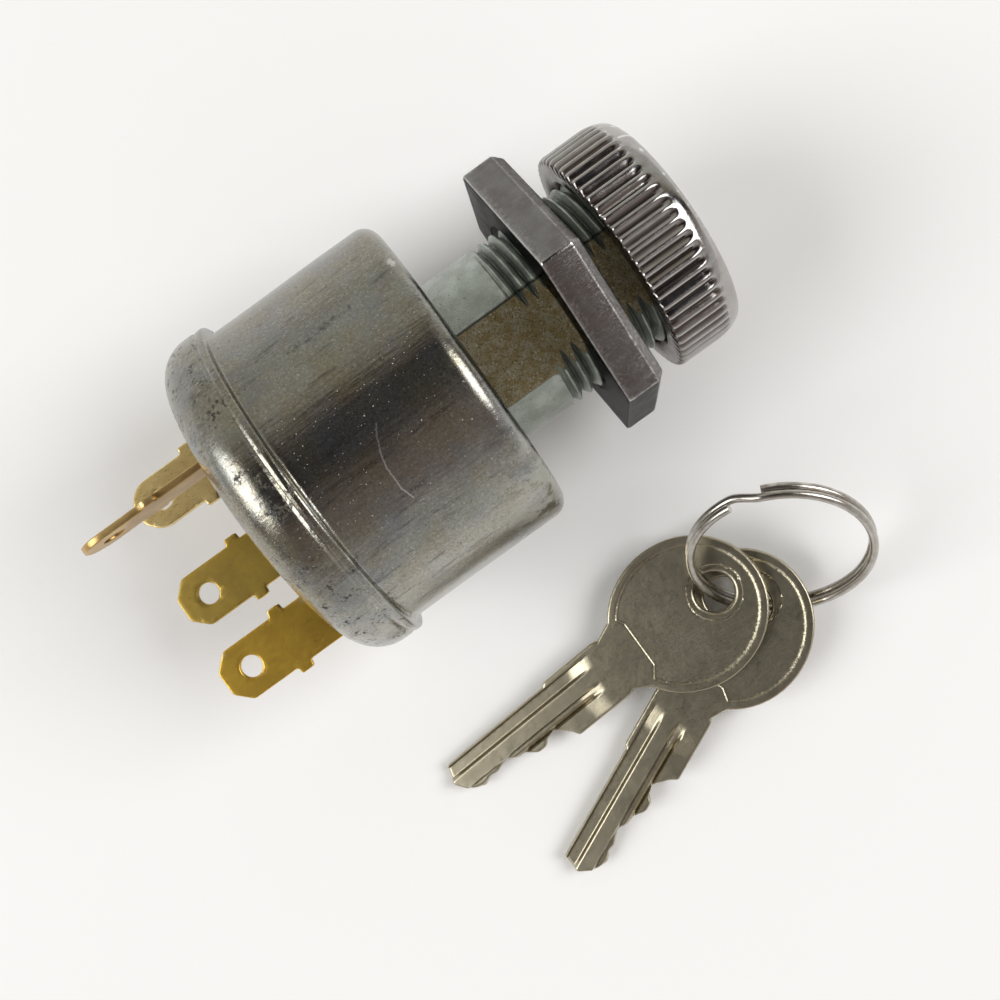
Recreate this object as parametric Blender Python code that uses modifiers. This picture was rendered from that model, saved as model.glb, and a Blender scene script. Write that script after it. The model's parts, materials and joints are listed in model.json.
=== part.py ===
# Selector key switch with its two keys on a split ring.
#
# The switch lies on its side. Its own pieces are modelled round an empty called
# switch_axis, whose local +Z runs along the switch from the terminals to the keyhole,
# local +Y points up and local +X points to the left of a reader of the key face.
# Stations along the axis are measured from the front edge of the crimped rim.
# Sizes below are in millimetres and are turned into metres by mm().

import math

import bmesh
import bpy
from mathutils import Matrix, Vector

# Can and rim
RIM_RADIUS = 20.3
RIM_LENGTH = 7.0
RIM_CORNER = 4.6
CAN_RADIUS = 19.1
CAN_FRONT = 21.15
CAN_CORNER = 2.0
SHEET = 0.8
GAP = 0.3

# Threaded neck of the lock housing
NECK_RADIUS = 10.25
NECK_FRONT = 47.45
FLAT_DISTANCE = 9.15
FLAT_TURN = 13.8
SKIRT_RADIUS = 17.0
BORE_RADIUS = 7.2

# Nuts
HEX_CORNER_RADIUS = 17.35
HEX_REAR = 31.8
HEX_FRONT = 36.6
HEX_FACE_RADIUS = 15.2
HEX_TURN = 8.0
NUT_BORE = 10.55
BEZEL_RADIUS = 13.7
BEZEL_REAR = 40.0
BEZEL_FRONT = 48.8
BEZEL_SHOULDER = 45.0
BEZEL_EDGE = 48.3
BEZEL_ROLL = 1.5
BEZEL_OPENING = 8.4

# Terminal base and blades
BASE_FRONT = -1.7
BASE_REAR = -5.85
BLADE_WIDTH = 6.3
BLADE_SHEET = 0.8
BLADE_SHOULDER = -6.2
TONGUE_WIDTH = 4.4
BLADES = {
    # name: (local x, local y, turn of its face, station of its tip)
    "terminal_battery": (-12.9, 1.0, 0.0, -21.3),
    "terminal_ignition": (-3.3, -4.0, -4.0, -21.6),
    "terminal_accessory": (9.3, -9.3, -8.0, -20.8),
    "terminal_starter": (6.5, 10.7, 90.0, -22.6),
}

# Lock plug and wafers
PLUG_RADIUS = 7.0
PLUG_FRONT = 47.95
CLIP_RADIUS = 8.1
CLIP_STATION = 22.4
CLIP_SHEET = 0.8
STEPS = 40
WAFER_COUNT = 5
WAFER_FIRST = 29.0
WAFER_PITCH = 3.2
WAFER_WIDTH = 8.0
WAFER_SHEET = 1.0
WAFER_DROP = 0.9
KEY_SWEEP = 80.0

# Contact rotor and detent
ROTOR_RADIUS = 15.2
ROTOR_REAR = 4.6
ROTOR_FRONT = 12.6
BALL_RADIUS = 1.5
BALL_STATION = 8.6
DETENT_ANGLES = (0.0, 45.0, KEY_SWEEP)

# Keys: in a key's own frame the ring hole is the origin and +X runs to the tip
KEY_SHEET = 1.9
HEAD_CENTRE = 4.25
HEAD_LENGTH = 10.1
HEAD_HALF_WIDTH = 9.25
STEM_TOP = -4.65
STEM_BOTTOM = 3.2
BLADE_SPINE = -4.25
STOP_STATION = 23.85
BITTING = (
    (24.1, 3.2), (24.6, 2.3), (26.3, 0.7), (27.6, 1.0), (28.3, 1.7), (29.6, 1.7),
    (30.9, 0.7), (32.2, 0.6), (33.4, -0.2), (34.7, 0.1), (35.4, 0.4), (36.5, 0.15),
    (37.7, 0.75), (39.3, 0.0), (40.7, -1.9), (39.9, BLADE_SPINE),
)
KEY_HOLE_RADIUS = 2.45
KEY_HOLE_MOUTH = 3.45
KEY_SPACING = KEY_SHEET + 0.15
KEY_PLANE = (3.2, 0.10, -0.10)
KEY_1 = (28.9, -38.5, -175.7)
KEY_2 = (32.0, -41.9, -154.9)
SLOT_CENTRE = (1.1, -1.4)
SLOT_LENGTH = 8.4
SLOT_WIDTH = 4.9
SLOT_TURN = 102.0

# Split ring
RING_RADIUS = 10.5
RING_WIRE = 1.0
RING_STACK = 1.15
RING_CENTRE = (37.55, -38.0, 10.7)
RING_LEAN = 45.2
RING_HEADING = 233.9
RING_START = 288.75
RING_GAP = 21.25
RING_DIP = 1.9
RING_DIP_ANGLE = 92.0
RING_DIP_HALF = 75.0


def mm(value):
    return value * 0.001


def clear_scene():
    for old in list(bpy.data.objects):
        bpy.data.objects.remove(old, do_unlink=True)


def make_material(name, colour, roughness, metallic):
    material = bpy.data.materials.new(name)
    material.use_nodes = True
    shader = material.node_tree.nodes["Principled BSDF"]
    shader.inputs["Base Color"].default_value = (*colour, 1.0)
    shader.inputs["Roughness"].default_value = roughness
    shader.inputs["Metallic"].default_value = metallic
    material.diffuse_color = (*colour, 1.0)
    return material


def place(obj, collection, parent, material=None):
    """Put an object in its collection, under its parent, with its material."""
    collection.objects.link(obj)
    obj.parent = parent
    if material is not None:
        obj.data.materials.clear()
        obj.data.materials.append(material)
    return obj


def soften(obj, angle=35.0):
    obj.data.shade_smooth()
    obj.data.set_sharp_from_angle(angle=math.radians(angle))


def arc(centre_x, centre_z, radius, start, end, count):
    """Points of an arc in a profile, with its angles in degrees."""
    points = []
    for step in range(count + 1):
        angle = math.radians(start + (end - start) * step / count)
        points.append((centre_x + radius * math.cos(angle),
                       centre_z + radius * math.sin(angle)))
    return points


def turned(name, profile, steps, closed=True):
    """A turned solid: its profile, top to bottom down the outer side, with a Screw."""
    mesh = bpy.data.meshes.new(name)
    points = [(mm(x), 0.0, mm(z)) for x, z in profile]
    edges = [(i, i + 1) for i in range(len(points) - 1)]
    if closed:
        edges.append((len(points) - 1, 0))
    mesh.from_pydata(points, edges, [])
    obj = bpy.data.objects.new(name, mesh)
    screw = obj.modifiers.new("turn", "SCREW")
    screw.axis = "Z"
    screw.angle = math.tau
    screw.steps = steps
    screw.render_steps = steps
    screw.use_merge_vertices = True
    screw.merge_threshold = 0.00001
    screw.use_smooth_shade = True
    return obj


def box(name, centre, size, turn=0.0):
    """A box with its centre and size in millimetres, turned about local Z."""
    mesh = bpy.data.meshes.new(name)
    shape = bmesh.new()
    bmesh.ops.create_cube(shape, size=1.0)
    bmesh.ops.scale(shape, vec=[mm(value) for value in size], verts=shape.verts)
    shape.to_mesh(mesh)
    shape.free()
    obj = bpy.data.objects.new(name, mesh)
    obj.location = [mm(value) for value in centre]
    obj.rotation_euler = (0.0, 0.0, math.radians(turn))
    return obj


def cone(name, bottom_radius, top_radius, bottom, top, segments, turn=0.0):
    """A cylinder or cone on local Z between two stations."""
    mesh = bpy.data.meshes.new(name)
    shape = bmesh.new()
    bmesh.ops.create_cone(shape, cap_ends=True, segments=segments,
                          radius1=mm(bottom_radius), radius2=mm(top_radius),
                          depth=mm(top - bottom))
    bmesh.ops.rotate(shape, verts=shape.verts, matrix=Matrix.Rotation(math.radians(turn), 3, "Z"))
    shape.to_mesh(mesh)
    shape.free()
    obj = bpy.data.objects.new(name, mesh)
    obj.location = (0.0, 0.0, mm(0.5 * (bottom + top)))
    return obj


def flat_plate(name, outlines, thickness):
    """A sheet-metal piece from a filled 2D curve, made into a welded mesh."""
    curve = bpy.data.curves.new(name, "CURVE")
    curve.dimensions = "2D"
    curve.fill_mode = "BOTH"
    curve.extrude = mm(0.5 * thickness)
    for outline in outlines:
        spline = curve.splines.new("POLY")
        spline.points.add(len(outline) - 1)
        for point, (x, y) in zip(spline.points, outline):
            point.co = (mm(x), mm(y), 0.0, 1.0)
        spline.use_cyclic_u = True
    return curve_to_mesh(name, curve)


def curve_to_mesh(name, curve):
    """Turn a curve into a mesh object with its caps welded on."""
    drawn = bpy.data.objects.new(name + "_curve", curve)
    bpy.context.scene.collection.objects.link(drawn)
    evaluated = drawn.evaluated_get(bpy.context.evaluated_depsgraph_get())
    mesh = bpy.data.meshes.new_from_object(evaluated)
    mesh.name = name
    bpy.data.objects.remove(drawn, do_unlink=True)
    shape = bmesh.new()
    shape.from_mesh(mesh)
    bmesh.ops.remove_doubles(shape, verts=shape.verts, dist=0.000001)
    bmesh.ops.recalc_face_normals(shape, faces=shape.faces)
    shape.to_mesh(mesh)
    shape.free()
    return bpy.data.objects.new(name, mesh)


def wire(name, points, diameter, resolution=2):
    """A round wire along points in millimetres, as a POLY curve with filled caps."""
    curve = bpy.data.curves.new(name, "CURVE")
    curve.dimensions = "3D"
    curve.bevel_depth = mm(0.5 * diameter)
    curve.bevel_resolution = resolution
    curve.use_fill_caps = True
    spline = curve.splines.new("POLY")
    spline.points.add(len(points) - 1)
    for point, place_mm in zip(spline.points, points):
        point.co = (*[mm(value) for value in place_mm], 1.0)
    return bpy.data.objects.new(name, curve)


def coil_points(radius, start, end, turns, per_turn):
    """Points of a compression spring on local Z from one station to another."""
    count = int(turns * per_turn)
    points = []
    for step in range(count + 1):
        angle = math.tau * turns * step / count
        points.append((radius * math.cos(angle), radius * math.sin(angle),
                       start + (end - start) * step / count))
    return points


def circle(radius, count, centre=(0.0, 0.0)):
    return [(centre[0] + radius * math.cos(math.tau * i / count),
             centre[1] + radius * math.sin(math.tau * i / count)) for i in range(count)]


class Bench:
    """The collections that the pieces and their cutters go in."""

    def __init__(self):
        scene = bpy.context.scene.collection
        self.parts = bpy.data.collections.new("selector_key_switch")
        self.cutters = bpy.data.collections.new("selector_key_switch_cutters")
        scene.children.link(self.parts)
        scene.children.link(self.cutters)

    def pivot(self, name, parent=None, matrix=None):
        empty = bpy.data.objects.new(name, None)
        empty.empty_display_size = 0.004
        self.parts.objects.link(empty)
        empty.parent = parent
        if matrix is not None:
            empty.matrix_local = matrix
        return empty

    def add(self, obj, parent, material):
        return place(obj, self.parts, parent, material)

    def cut(self, target, tool, operation="DIFFERENCE"):
        """Cut a piece with a tool that stays in the cutters collection."""
        place(tool, self.cutters, target.parent)
        tool.hide_render = True
        tool.display_type = "WIRE"
        boolean = target.modifiers.new(operation.lower(), "BOOLEAN")
        boolean.operation = operation
        boolean.solver = "EXACT"
        boolean.object = tool


def make_can(bench, axis):
    """Drawn can whose wider mouth is crimped round over the terminal base."""
    corner_x = RIM_RADIUS - RIM_CORNER
    corner_z = RIM_CORNER - RIM_LENGTH
    front_x = CAN_RADIUS - CAN_CORNER
    front_z = CAN_FRONT - CAN_CORNER
    inner_can = CAN_RADIUS - SHEET
    inner_rim = RIM_RADIUS - SHEET
    profile = [(NECK_RADIUS + 0.25, CAN_FRONT)]
    profile += arc(front_x, front_z, CAN_CORNER, 90, 0, 3)
    profile += [(CAN_RADIUS, 0.3), (CAN_RADIUS + 0.3, 0.0)]
    profile += arc(RIM_RADIUS - 0.6, -0.6, 0.6, 90, 0, 2)
    profile += arc(corner_x, corner_z, RIM_CORNER, 0, -80, 5)
    profile += arc(corner_x, corner_z, RIM_CORNER - SHEET, -80, 0, 3)
    profile += [(inner_rim, -SHEET), (inner_can, -SHEET)]
    profile += arc(front_x, front_z, CAN_CORNER - SHEET, 0, 90, 2)
    profile += [(NECK_RADIUS + 0.25, CAN_FRONT - SHEET)]
    can = turned("switch_can", profile, STEPS)
    bench.add(can, axis, make_material("zinc_plated_can", (0.47, 0.48, 0.45), 0.34, 1.0))


def make_housing(bench, axis):
    """Die-cast lock housing: threaded neck with two flats, flange and inner skirt."""
    flange = CAN_FRONT - SHEET - GAP
    outer = NECK_RADIUS
    profile = [
        (outer - 0.6, NECK_FRONT), (outer, NECK_FRONT - 0.6), (outer, flange),
        (SKIRT_RADIUS - 0.1, flange), (SKIRT_RADIUS + 1.0, flange - 1.0),
        (SKIRT_RADIUS + 1.0, 3.5), (SKIRT_RADIUS, 3.5), (SKIRT_RADIUS, 16.5),
        (CLIP_RADIUS + GAP, 16.5), (CLIP_RADIUS + GAP, 24.0), (BORE_RADIUS, 24.0), (BORE_RADIUS, NECK_FRONT - 1.4),
        (8.2, NECK_FRONT - 1.4), (8.2, NECK_FRONT),
    ]
    housing = turned("lock_housing", profile, STEPS)
    bench.add(housing, axis, make_material("die_cast_zinc", (0.42, 0.42, 0.36), 0.46, 1.0))
    for side in (1.0, -1.0):
        turn = math.radians(90.0 + FLAT_TURN)
        reach = side * (FLAT_DISTANCE + 2.0)
        bench.cut(housing, box("neck_flat_cutter", (
            reach * math.cos(turn), reach * math.sin(turn), 35.3), (4.0, 24.0, 30.0),
            90.0 + FLAT_TURN))
    for sweep in (0.0, -KEY_SWEEP):
        angle = math.radians(-90.0 + sweep)
        reach = PLUG_RADIUS + 0.1
        bench.cut(housing, box("wafer_slot_cutter", (
            reach * math.cos(angle), reach * math.sin(angle), 35.4),
            (WAFER_DROP + 1.4, WAFER_WIDTH + 0.7, 16.0), -90.0 + sweep))
    for side in (0.0, 180.0):
        for detent in DETENT_ANGLES:
            angle = math.radians(side - detent)
            notch = cone("detent_notch_cutter", 1.5, 1.5, 6.4, 10.8, 12, 15.0)
            notch.location.x = mm(16.0 * math.cos(angle))
            notch.location.y = mm(16.0 * math.sin(angle))
            bench.cut(housing, notch)


def make_hex_nut(bench, axis):
    """Hexagon nut with a turned chamfer on its front face."""
    nut = cone("hex_nut", HEX_CORNER_RADIUS, HEX_CORNER_RADIUS, HEX_REAR, HEX_FRONT, 6, -HEX_TURN)
    bench.add(nut, axis, make_material("dark_chrome_hex", (0.36, 0.33, 0.31), 0.2, 1.0))
    crown = turned("hex_crown_cutter", [
        (0.0, HEX_FRONT + 0.2), (HEX_FACE_RADIUS - 0.35, HEX_FRONT + 0.2),
        (HEX_CORNER_RADIUS + 0.5, HEX_FRONT - 1.5), (HEX_CORNER_RADIUS + 0.5, HEX_REAR - 1.0),
        (0.0, HEX_REAR - 1.0)], STEPS, closed=False)
    bench.cut(nut, crown, "INTERSECT")
    bench.cut(nut, cone("hex_bore_cutter", NUT_BORE, NUT_BORE, HEX_REAR - 2, HEX_FRONT + 2, STEPS))


def make_bezel_nut(bench, axis):
    """Round bezel nut, bored from the rear, with a rolled front edge and a slightly raised face."""
    profile = [(BEZEL_OPENING, BEZEL_FRONT - 0.35), (BEZEL_OPENING + 0.35, BEZEL_FRONT)]
    for step in range(6):
        turn = math.radians(90.0 - 18.0 * step)
        profile.append((BEZEL_RADIUS - BEZEL_ROLL * (1.0 - math.cos(turn)),
                        BEZEL_SHOULDER + (BEZEL_EDGE - BEZEL_SHOULDER) * math.sin(turn)))
    profile += [
        (BEZEL_RADIUS, BEZEL_REAR + 0.3), (BEZEL_RADIUS - 0.3, BEZEL_REAR),
        (NUT_BORE + 0.5, BEZEL_REAR), (NUT_BORE, BEZEL_REAR + 0.5),
        (NUT_BORE, BEZEL_FRONT - 1.05), (BEZEL_OPENING, BEZEL_FRONT - 1.05),
    ]
    bezel = turned("bezel_nut", profile, STEPS)
    bench.add(bezel, axis, make_material("bright_chrome_bezel", (0.62, 0.61, 0.6), 0.12, 1.0))


def make_base(bench, axis):
    """Moulded terminal base that the crimped rim holds, and its gasket."""
    base = turned("terminal_base", [
        (0.0, BASE_FRONT), (19.2, BASE_FRONT), (19.2, -2.4), (18.3, -4.4),
        (16.2, BASE_REAR), (0.0, BASE_REAR)], STEPS, closed=False)
    bench.add(base, axis, make_material("phenolic_base", (0.025, 0.022, 0.02), 0.5, 0.0))
    for name, (x, y, turn, tip) in BLADES.items():
        bench.cut(base, box(name + "_slot", (x, y, 0.5 * (BASE_FRONT + BASE_REAR)),
                            (TONGUE_WIDTH + 0.4, BLADE_SHEET + 0.4, 6.0), turn))
    gasket = turned("base_gasket", [
        (19.1, -0.95), (19.1, -1.55), (17.2, -1.55), (17.2, -0.95)], 32)
    bench.add(gasket, axis, make_material("rubber_gasket", (0.02, 0.02, 0.02), 0.8, 0.0))


def blade_outline(length):
    """Blade seen on its face: +Y runs to the tip, from the shoulder at y = 0."""
    half = 0.5 * BLADE_WIDTH
    tongue = 0.5 * TONGUE_WIDTH
    foot = -(BASE_FRONT - 0.05 - BLADE_SHOULDER)
    side = [
        (tongue, foot), (tongue, 0.0), (half, 0.0), (half, length - 9.6),
        (half + 0.8, length - 9.6), (half + 0.8, length - 7.9), (half, length - 7.9),
        (half, length - 1.5), (half - 1.8, length),
    ]
    return side + [(-x, y) for x, y in reversed(side)]


def make_terminals(bench, axis):
    """Four brass blades with the contact studs on their tongues."""
    brass = ((0.56, 0.42, 0.14), 0.3, 1.0)
    for name, (x, y, turn, tip) in BLADES.items():
        length = BLADE_SHOULDER - tip
        hole = circle(1.25, 16, (0.0, length - 3.5))
        blade = flat_plate(name, [blade_outline(length), hole], BLADE_SHEET)
        bench.add(blade, axis, make_material(name + "_brass", *brass))
        stand = Matrix(((1, 0, 0, 0), (0, 0, 1, 0), (0, -1, 0, 0), (0, 0, 0, 1)))
        spot = Matrix.Translation((mm(x), mm(y), mm(BLADE_SHOULDER)))
        blade.matrix_local = spot @ Matrix.Rotation(math.radians(turn), 4, "Z") @ stand
        stud_name = name.replace("terminal", "contact_stud")
        stud = cone(stud_name, 2.4, 2.0, BASE_FRONT + 0.2, 0.1, 16)
        stud.location.x = mm(x)
        stud.location.y = mm(y)
        bench.add(stud, axis, make_material(stud_name + "_copper", (0.7, 0.36, 0.2), 0.3, 1.0))


def make_contacts(bench, axis):
    """Lobed contact plate and the spring that presses it on the studs."""
    outline = []
    for step in range(48):
        angle = math.tau * step / 48
        reach = 12.6 + 1.9 * math.cos(3 * angle)
        outline.append((reach * math.cos(angle), reach * math.sin(angle)))
    plate = flat_plate("contact_plate", [outline, circle(3.0, 16)], 0.8)
    bench.add(plate, axis, make_material("copper_plate", (0.68, 0.36, 0.22), 0.3, 1.0))
    plate.location.z = mm(0.85)
    spring = wire("contact_spring", coil_points(4.3, 2.0, 7.8, 4, 8), 0.8, 1)
    bench.add(spring, axis, make_material("spring_steel_contact", (0.5, 0.5, 0.5), 0.3, 1.0))


def make_rotor(bench, axis):
    """Moulded contact rotor, its detent balls and springs, and the return spring."""
    rotor = turned("contact_rotor", [
        (0.0, 17.6), (6.0, 17.6), (6.0, ROTOR_FRONT), (ROTOR_RADIUS, ROTOR_FRONT),
        (ROTOR_RADIUS, ROTOR_REAR), (6.2, ROTOR_REAR), (6.2, 8.6), (2.5, 8.6),
        (2.5, 0.2), (0.0, 0.2)], STEPS, closed=False)
    bench.add(rotor, axis, make_material("moulded_rotor", (0.5, 0.46, 0.36), 0.5, 0.0))
    bench.cut(rotor, box("tang_slot_cutter", (0.0, 0.0, 16.0), (2.9, 7.2, 5.0)))
    for number, side in ((1, 1.0), (2, -1.0)):
        lay = Matrix.Rotation(math.radians(90.0 * side), 4, "Y")
        pocket = cone("ball_pocket_cutter", 1.8, 1.8, 9.4, 17.0, 16)
        pocket.matrix_local = Matrix.Translation((mm(13.2 * side), 0.0, mm(BALL_STATION))) @ lay
        bench.cut(rotor, pocket)
        ball_mesh = bpy.data.meshes.new("detent_ball")
        shape = bmesh.new()
        bmesh.ops.create_uvsphere(shape, u_segments=12, v_segments=8, radius=mm(BALL_RADIUS))
        shape.to_mesh(ball_mesh)
        shape.free()
        ball = bpy.data.objects.new(f"detent_ball_{number}", ball_mesh)
        ball.location = (mm(15.25 * side), 0.0, mm(BALL_STATION))
        bench.add(ball, axis, make_material(f"ball_steel_{number}", (0.6, 0.6, 0.6), 0.12, 1.0))
        spring = wire(f"detent_spring_{number}", coil_points(1.15, 9.7, 12.9, 3, 6), 0.3, 1)
        spring.matrix_local = Matrix.Translation((0.0, 0.0, mm(BALL_STATION))) @ lay
        bench.add(spring, axis, make_material(f"detent_wire_{number}", (0.5, 0.5, 0.5), 0.3, 1.0))
    points = coil_points(9.0, 13.4, 15.8, 2.25, 16)
    coil = wire("return_spring", [(14.5, 0.0, 13.4)] + points + [(0.0, 14.5, 15.8)], 0.9)
    bench.add(coil, axis, make_material("return_wire", (0.45, 0.45, 0.45), 0.3, 1.0))


def make_plug(bench, axis):
    """Lock plug with its keyway, wafer slots and driving tang, and its clip."""
    groove = CLIP_STATION
    plug = turned("lock_plug", [
        (0.0, PLUG_FRONT), (7.6, PLUG_FRONT), (7.9, PLUG_FRONT - 0.3), (7.9, NECK_FRONT - 1.0),
        (PLUG_RADIUS, NECK_FRONT - 1.0), (PLUG_RADIUS, groove + 1.3), (6.2, groove + 1.3),
        (6.2, groove), (PLUG_RADIUS, groove), (PLUG_RADIUS, 21.3), (3.4, 21.3),
        (3.4, 14.3), (0.0, 14.3)], STEPS, closed=False)
    bench.add(plug, axis, make_material("nickel_plug", (0.52, 0.5, 0.46), 0.28, 1.0))
    for side in (1.0, -1.0):
        bench.cut(plug, box("tang_cutter", (2.7 * side, 0.0, 17.5), (3.0, 8.0, 7.3)))
    bench.cut(plug, box("keyway_cutter", (0.0, 0.0, 39.0), (2.4, 8.6, 24.6)))
    for index in range(WAFER_COUNT):
        station = WAFER_FIRST + WAFER_PITCH * index
        bench.cut(plug, box("plug_slot_cutter", (0.0, 0.0, station),
                            (WAFER_WIDTH + 0.4, 16.0, WAFER_SHEET + 0.4)))
        bench.cut(plug, box("spring_pocket_cutter", (4.8, -0.35, station),
                            (2.6, 6.2, 1.7)))
    half_gap = math.radians(35.0)
    count = 24
    outer = []
    inner = []
    for step in range(count + 1):
        angle = half_gap + (math.tau - 2 * half_gap) * step / count
        outer.append((CLIP_RADIUS * math.cos(angle), CLIP_RADIUS * math.sin(angle)))
        inner.append((6.5 * math.cos(angle), 6.5 * math.sin(angle)))
    clip = flat_plate("plug_clip", [outer + inner[::-1]], CLIP_SHEET)
    clip.location.z = mm(groove + 0.65)
    bench.add(clip, axis, make_material("clip_steel", (0.4, 0.4, 0.4), 0.35, 1.0))


def wafer_outline():
    """Round-ended wafer with an ear on one side for its spring."""
    half = 0.5 * WAFER_WIDTH
    reach = PLUG_RADIUS - 0.1
    rise = math.degrees(math.asin(half / reach))
    top = arc(0.0, 0.0, reach, 90.0 - rise, 90.0 + rise, 6)
    bottom = arc(0.0, 0.0, reach, 270.0 - rise, 270.0 + rise, 6)
    ear = [(half, -2.2), (5.8, -2.2), (5.8, -1.2), (half, -1.2)]
    return top + bottom + ear


def make_wafers(bench, axis):
    """Five wafers and the springs beside them, which ride in the plug."""
    for index in range(WAFER_COUNT):
        station = WAFER_FIRST + WAFER_PITCH * index
        window_top = 3.9 - 0.35 * (index % 3)
        window = [(-1.5, -window_top), (1.5, -window_top), (1.5, 4.2), (-1.5, 4.2)]
        wafer = flat_plate(f"wafer_{index + 1}", [wafer_outline(), window], WAFER_SHEET)
        wafer.location.z = mm(station)
        bench.add(wafer, axis, make_material(f"wafer_brass_{index + 1}",
                                             (0.58, 0.44, 0.18), 0.35, 1.0))
        spring = wire(f"wafer_spring_{index + 1}", coil_points(0.5, -0.9, 2.3, 3, 6), 0.22, 1)
        spring.matrix_local = (Matrix.Translation((mm(5.05), 0.0, mm(station)))
                               @ Matrix.Rotation(math.radians(-90.0), 4, "X"))
        bench.add(spring, axis, make_material(f"wafer_wire_{index + 1}",
                                              (0.5, 0.5, 0.5), 0.3, 1.0))


def key_outline():
    """Outline of a key from the neck along the bitting, the spine and round the head."""
    low = math.degrees(math.asin(STEM_BOTTOM / HEAD_HALF_WIDTH))
    high = math.degrees(math.asin(-STEM_TOP / HEAD_HALF_WIDTH))
    stop = [(STOP_STATION, BLADE_SPINE), (STOP_STATION - 0.3, STEM_TOP)]
    head = []
    for step in range(33):
        angle = math.radians(-high - 4.0 - (360.0 - high - low - 8.0) * step / 32)
        head.append((HEAD_CENTRE + HEAD_LENGTH * math.cos(angle),
                     HEAD_HALF_WIDTH * math.sin(angle)))
    neck_top = (HEAD_CENTRE + HEAD_LENGTH * 0.9 + 1.6, STEM_TOP)
    neck_bottom = (HEAD_CENTRE + HEAD_LENGTH * 0.97 + 1.2, STEM_BOTTOM)
    return [neck_bottom] + list(BITTING) + stop + [neck_top] + head


def key_matrix(spot, level):
    """Where a key lies: its hole over a floor point, tipped with its plane."""
    height, slope_x, slope_y = KEY_PLANE
    x, y, heading = spot
    normal = Vector((-slope_x, -slope_y, 1.0)).normalized()
    base = Vector((x, y, height + slope_x * (x - 30.0) + slope_y * (y + 40.0)))
    centre = base + normal * level
    ahead = Vector((math.cos(math.radians(heading)), math.sin(math.radians(heading)), 0.0))
    ahead = (ahead - normal * ahead.dot(normal)).normalized()
    side = normal.cross(ahead)
    turn = Matrix((ahead, side, normal)).transposed().to_4x4()
    return Matrix.Translation([mm(value) for value in centre]) @ turn


def obround(length, width, centre, turn):
    """A slot outline with round ends, turned about its centre in degrees."""
    half = 0.5 * (length - width)
    points = arc(half, 0.0, 0.5 * width, -90, 90, 8) + arc(-half, 0.0, 0.5 * width, 90, 270, 8)
    cosine = math.cos(math.radians(turn))
    sine = math.sin(math.radians(turn))
    return [(centre[0] + x * cosine - y * sine, centre[1] + x * sine + y * cosine)
            for x, y in points]


def make_key(bench, parent, name):
    """One flat key with its grooves; key_2 has the oblong ring hole."""
    outlines = [key_outline()]
    if name == "key_2":
        outlines.append(obround(SLOT_LENGTH, SLOT_WIDTH, SLOT_CENTRE, SLOT_TURN))
    key = flat_plate(name, outlines, KEY_SHEET)
    bench.add(key, parent, make_material(name + "_nickel", (0.46, 0.43, 0.36), 0.3, 1.0))
    if name == "key_1":
        half = 0.5 * KEY_SHEET
        bench.cut(key, turned("key_hole_cutter", [
            (0.0, half + 0.2), (KEY_HOLE_MOUTH + 0.2, half + 0.2), (KEY_HOLE_RADIUS, 0.25),
            (KEY_HOLE_RADIUS, -0.25), (KEY_HOLE_MOUTH + 0.2, -half - 0.2),
            (0.0, -half - 0.2)], 24, closed=False))
    grooves = {
        "spine_groove": (18.5, 42.0, -3.9, -2.5, 1.0),
        "wide_groove": (20.0, 42.0, -0.8, 0.3, 1.0),
        "ward_groove": (19.0, 42.0, -2.2, -1.1, -1.0),
    }
    for groove, (start, end, low, high, face) in grooves.items():
        depth = 0.6
        bench.cut(key, box(f"{name}_{groove}", (
            0.5 * (start + end), 0.5 * (low + high), face * (0.5 * KEY_SHEET - depth + 1.0)),
            (end - start, high - low, 2.0)))
    return key


def ring_frame():
    """Unit vectors of the ring's plane, with its normal last."""
    lean = math.radians(RING_LEAN)
    heading = math.radians(RING_HEADING)
    normal = Vector((math.sin(lean) * math.cos(heading), math.sin(lean) * math.sin(heading),
                     math.cos(lean)))
    across = normal.cross(Vector((0.0, 0.0, 1.0))).normalized()
    return across, normal.cross(across), normal


def ring_points(per_turn):
    """Two turns of wire side by side, dipping where they pass through the keys."""
    across, down, normal = ring_frame()
    total = 720.0 - RING_GAP
    count = int(per_turn * total / 360.0)
    points = []
    for step in range(count + 1):
        travel = total * step / count
        angle = RING_START - travel
        shift = min(max((travel - 360.0 + RING_GAP) / RING_GAP, 0.0), 1.0)
        layer = RING_STACK * (shift * shift * (3.0 - 2.0 * shift) - 0.5)
        offset = (angle - RING_DIP_ANGLE + 180.0) % 360.0 - 180.0
        dip = 0.0
        if abs(offset) < RING_DIP_HALF:
            dip = RING_DIP * math.cos(math.radians(90.0 * offset / RING_DIP_HALF)) ** 2
        turn = math.radians(angle)
        point = (Vector(RING_CENTRE) + RING_RADIUS * (math.cos(turn) * across
                 + math.sin(turn) * down) + layer * normal)
        points.append((point.x, point.y, point.z - dip))
    return points


def make_key_set(bench, kit):
    """Two keys and the split ring that joins them, lying beside the switch."""
    key_2_pivot = bench.pivot("key_2_pivot", kit, key_matrix(KEY_2, 0.0))
    key_1_pivot = bench.pivot("key_1_pivot", kit, key_matrix(KEY_1, KEY_SPACING))
    make_key(bench, key_2_pivot, "key_2")
    make_key(bench, key_1_pivot, "key_1")
    ring = wire("split_ring", ring_points(40), RING_WIRE)
    bench.add(ring, kit, make_material("ring_steel", (0.5, 0.48, 0.45), 0.22, 1.0))


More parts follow.
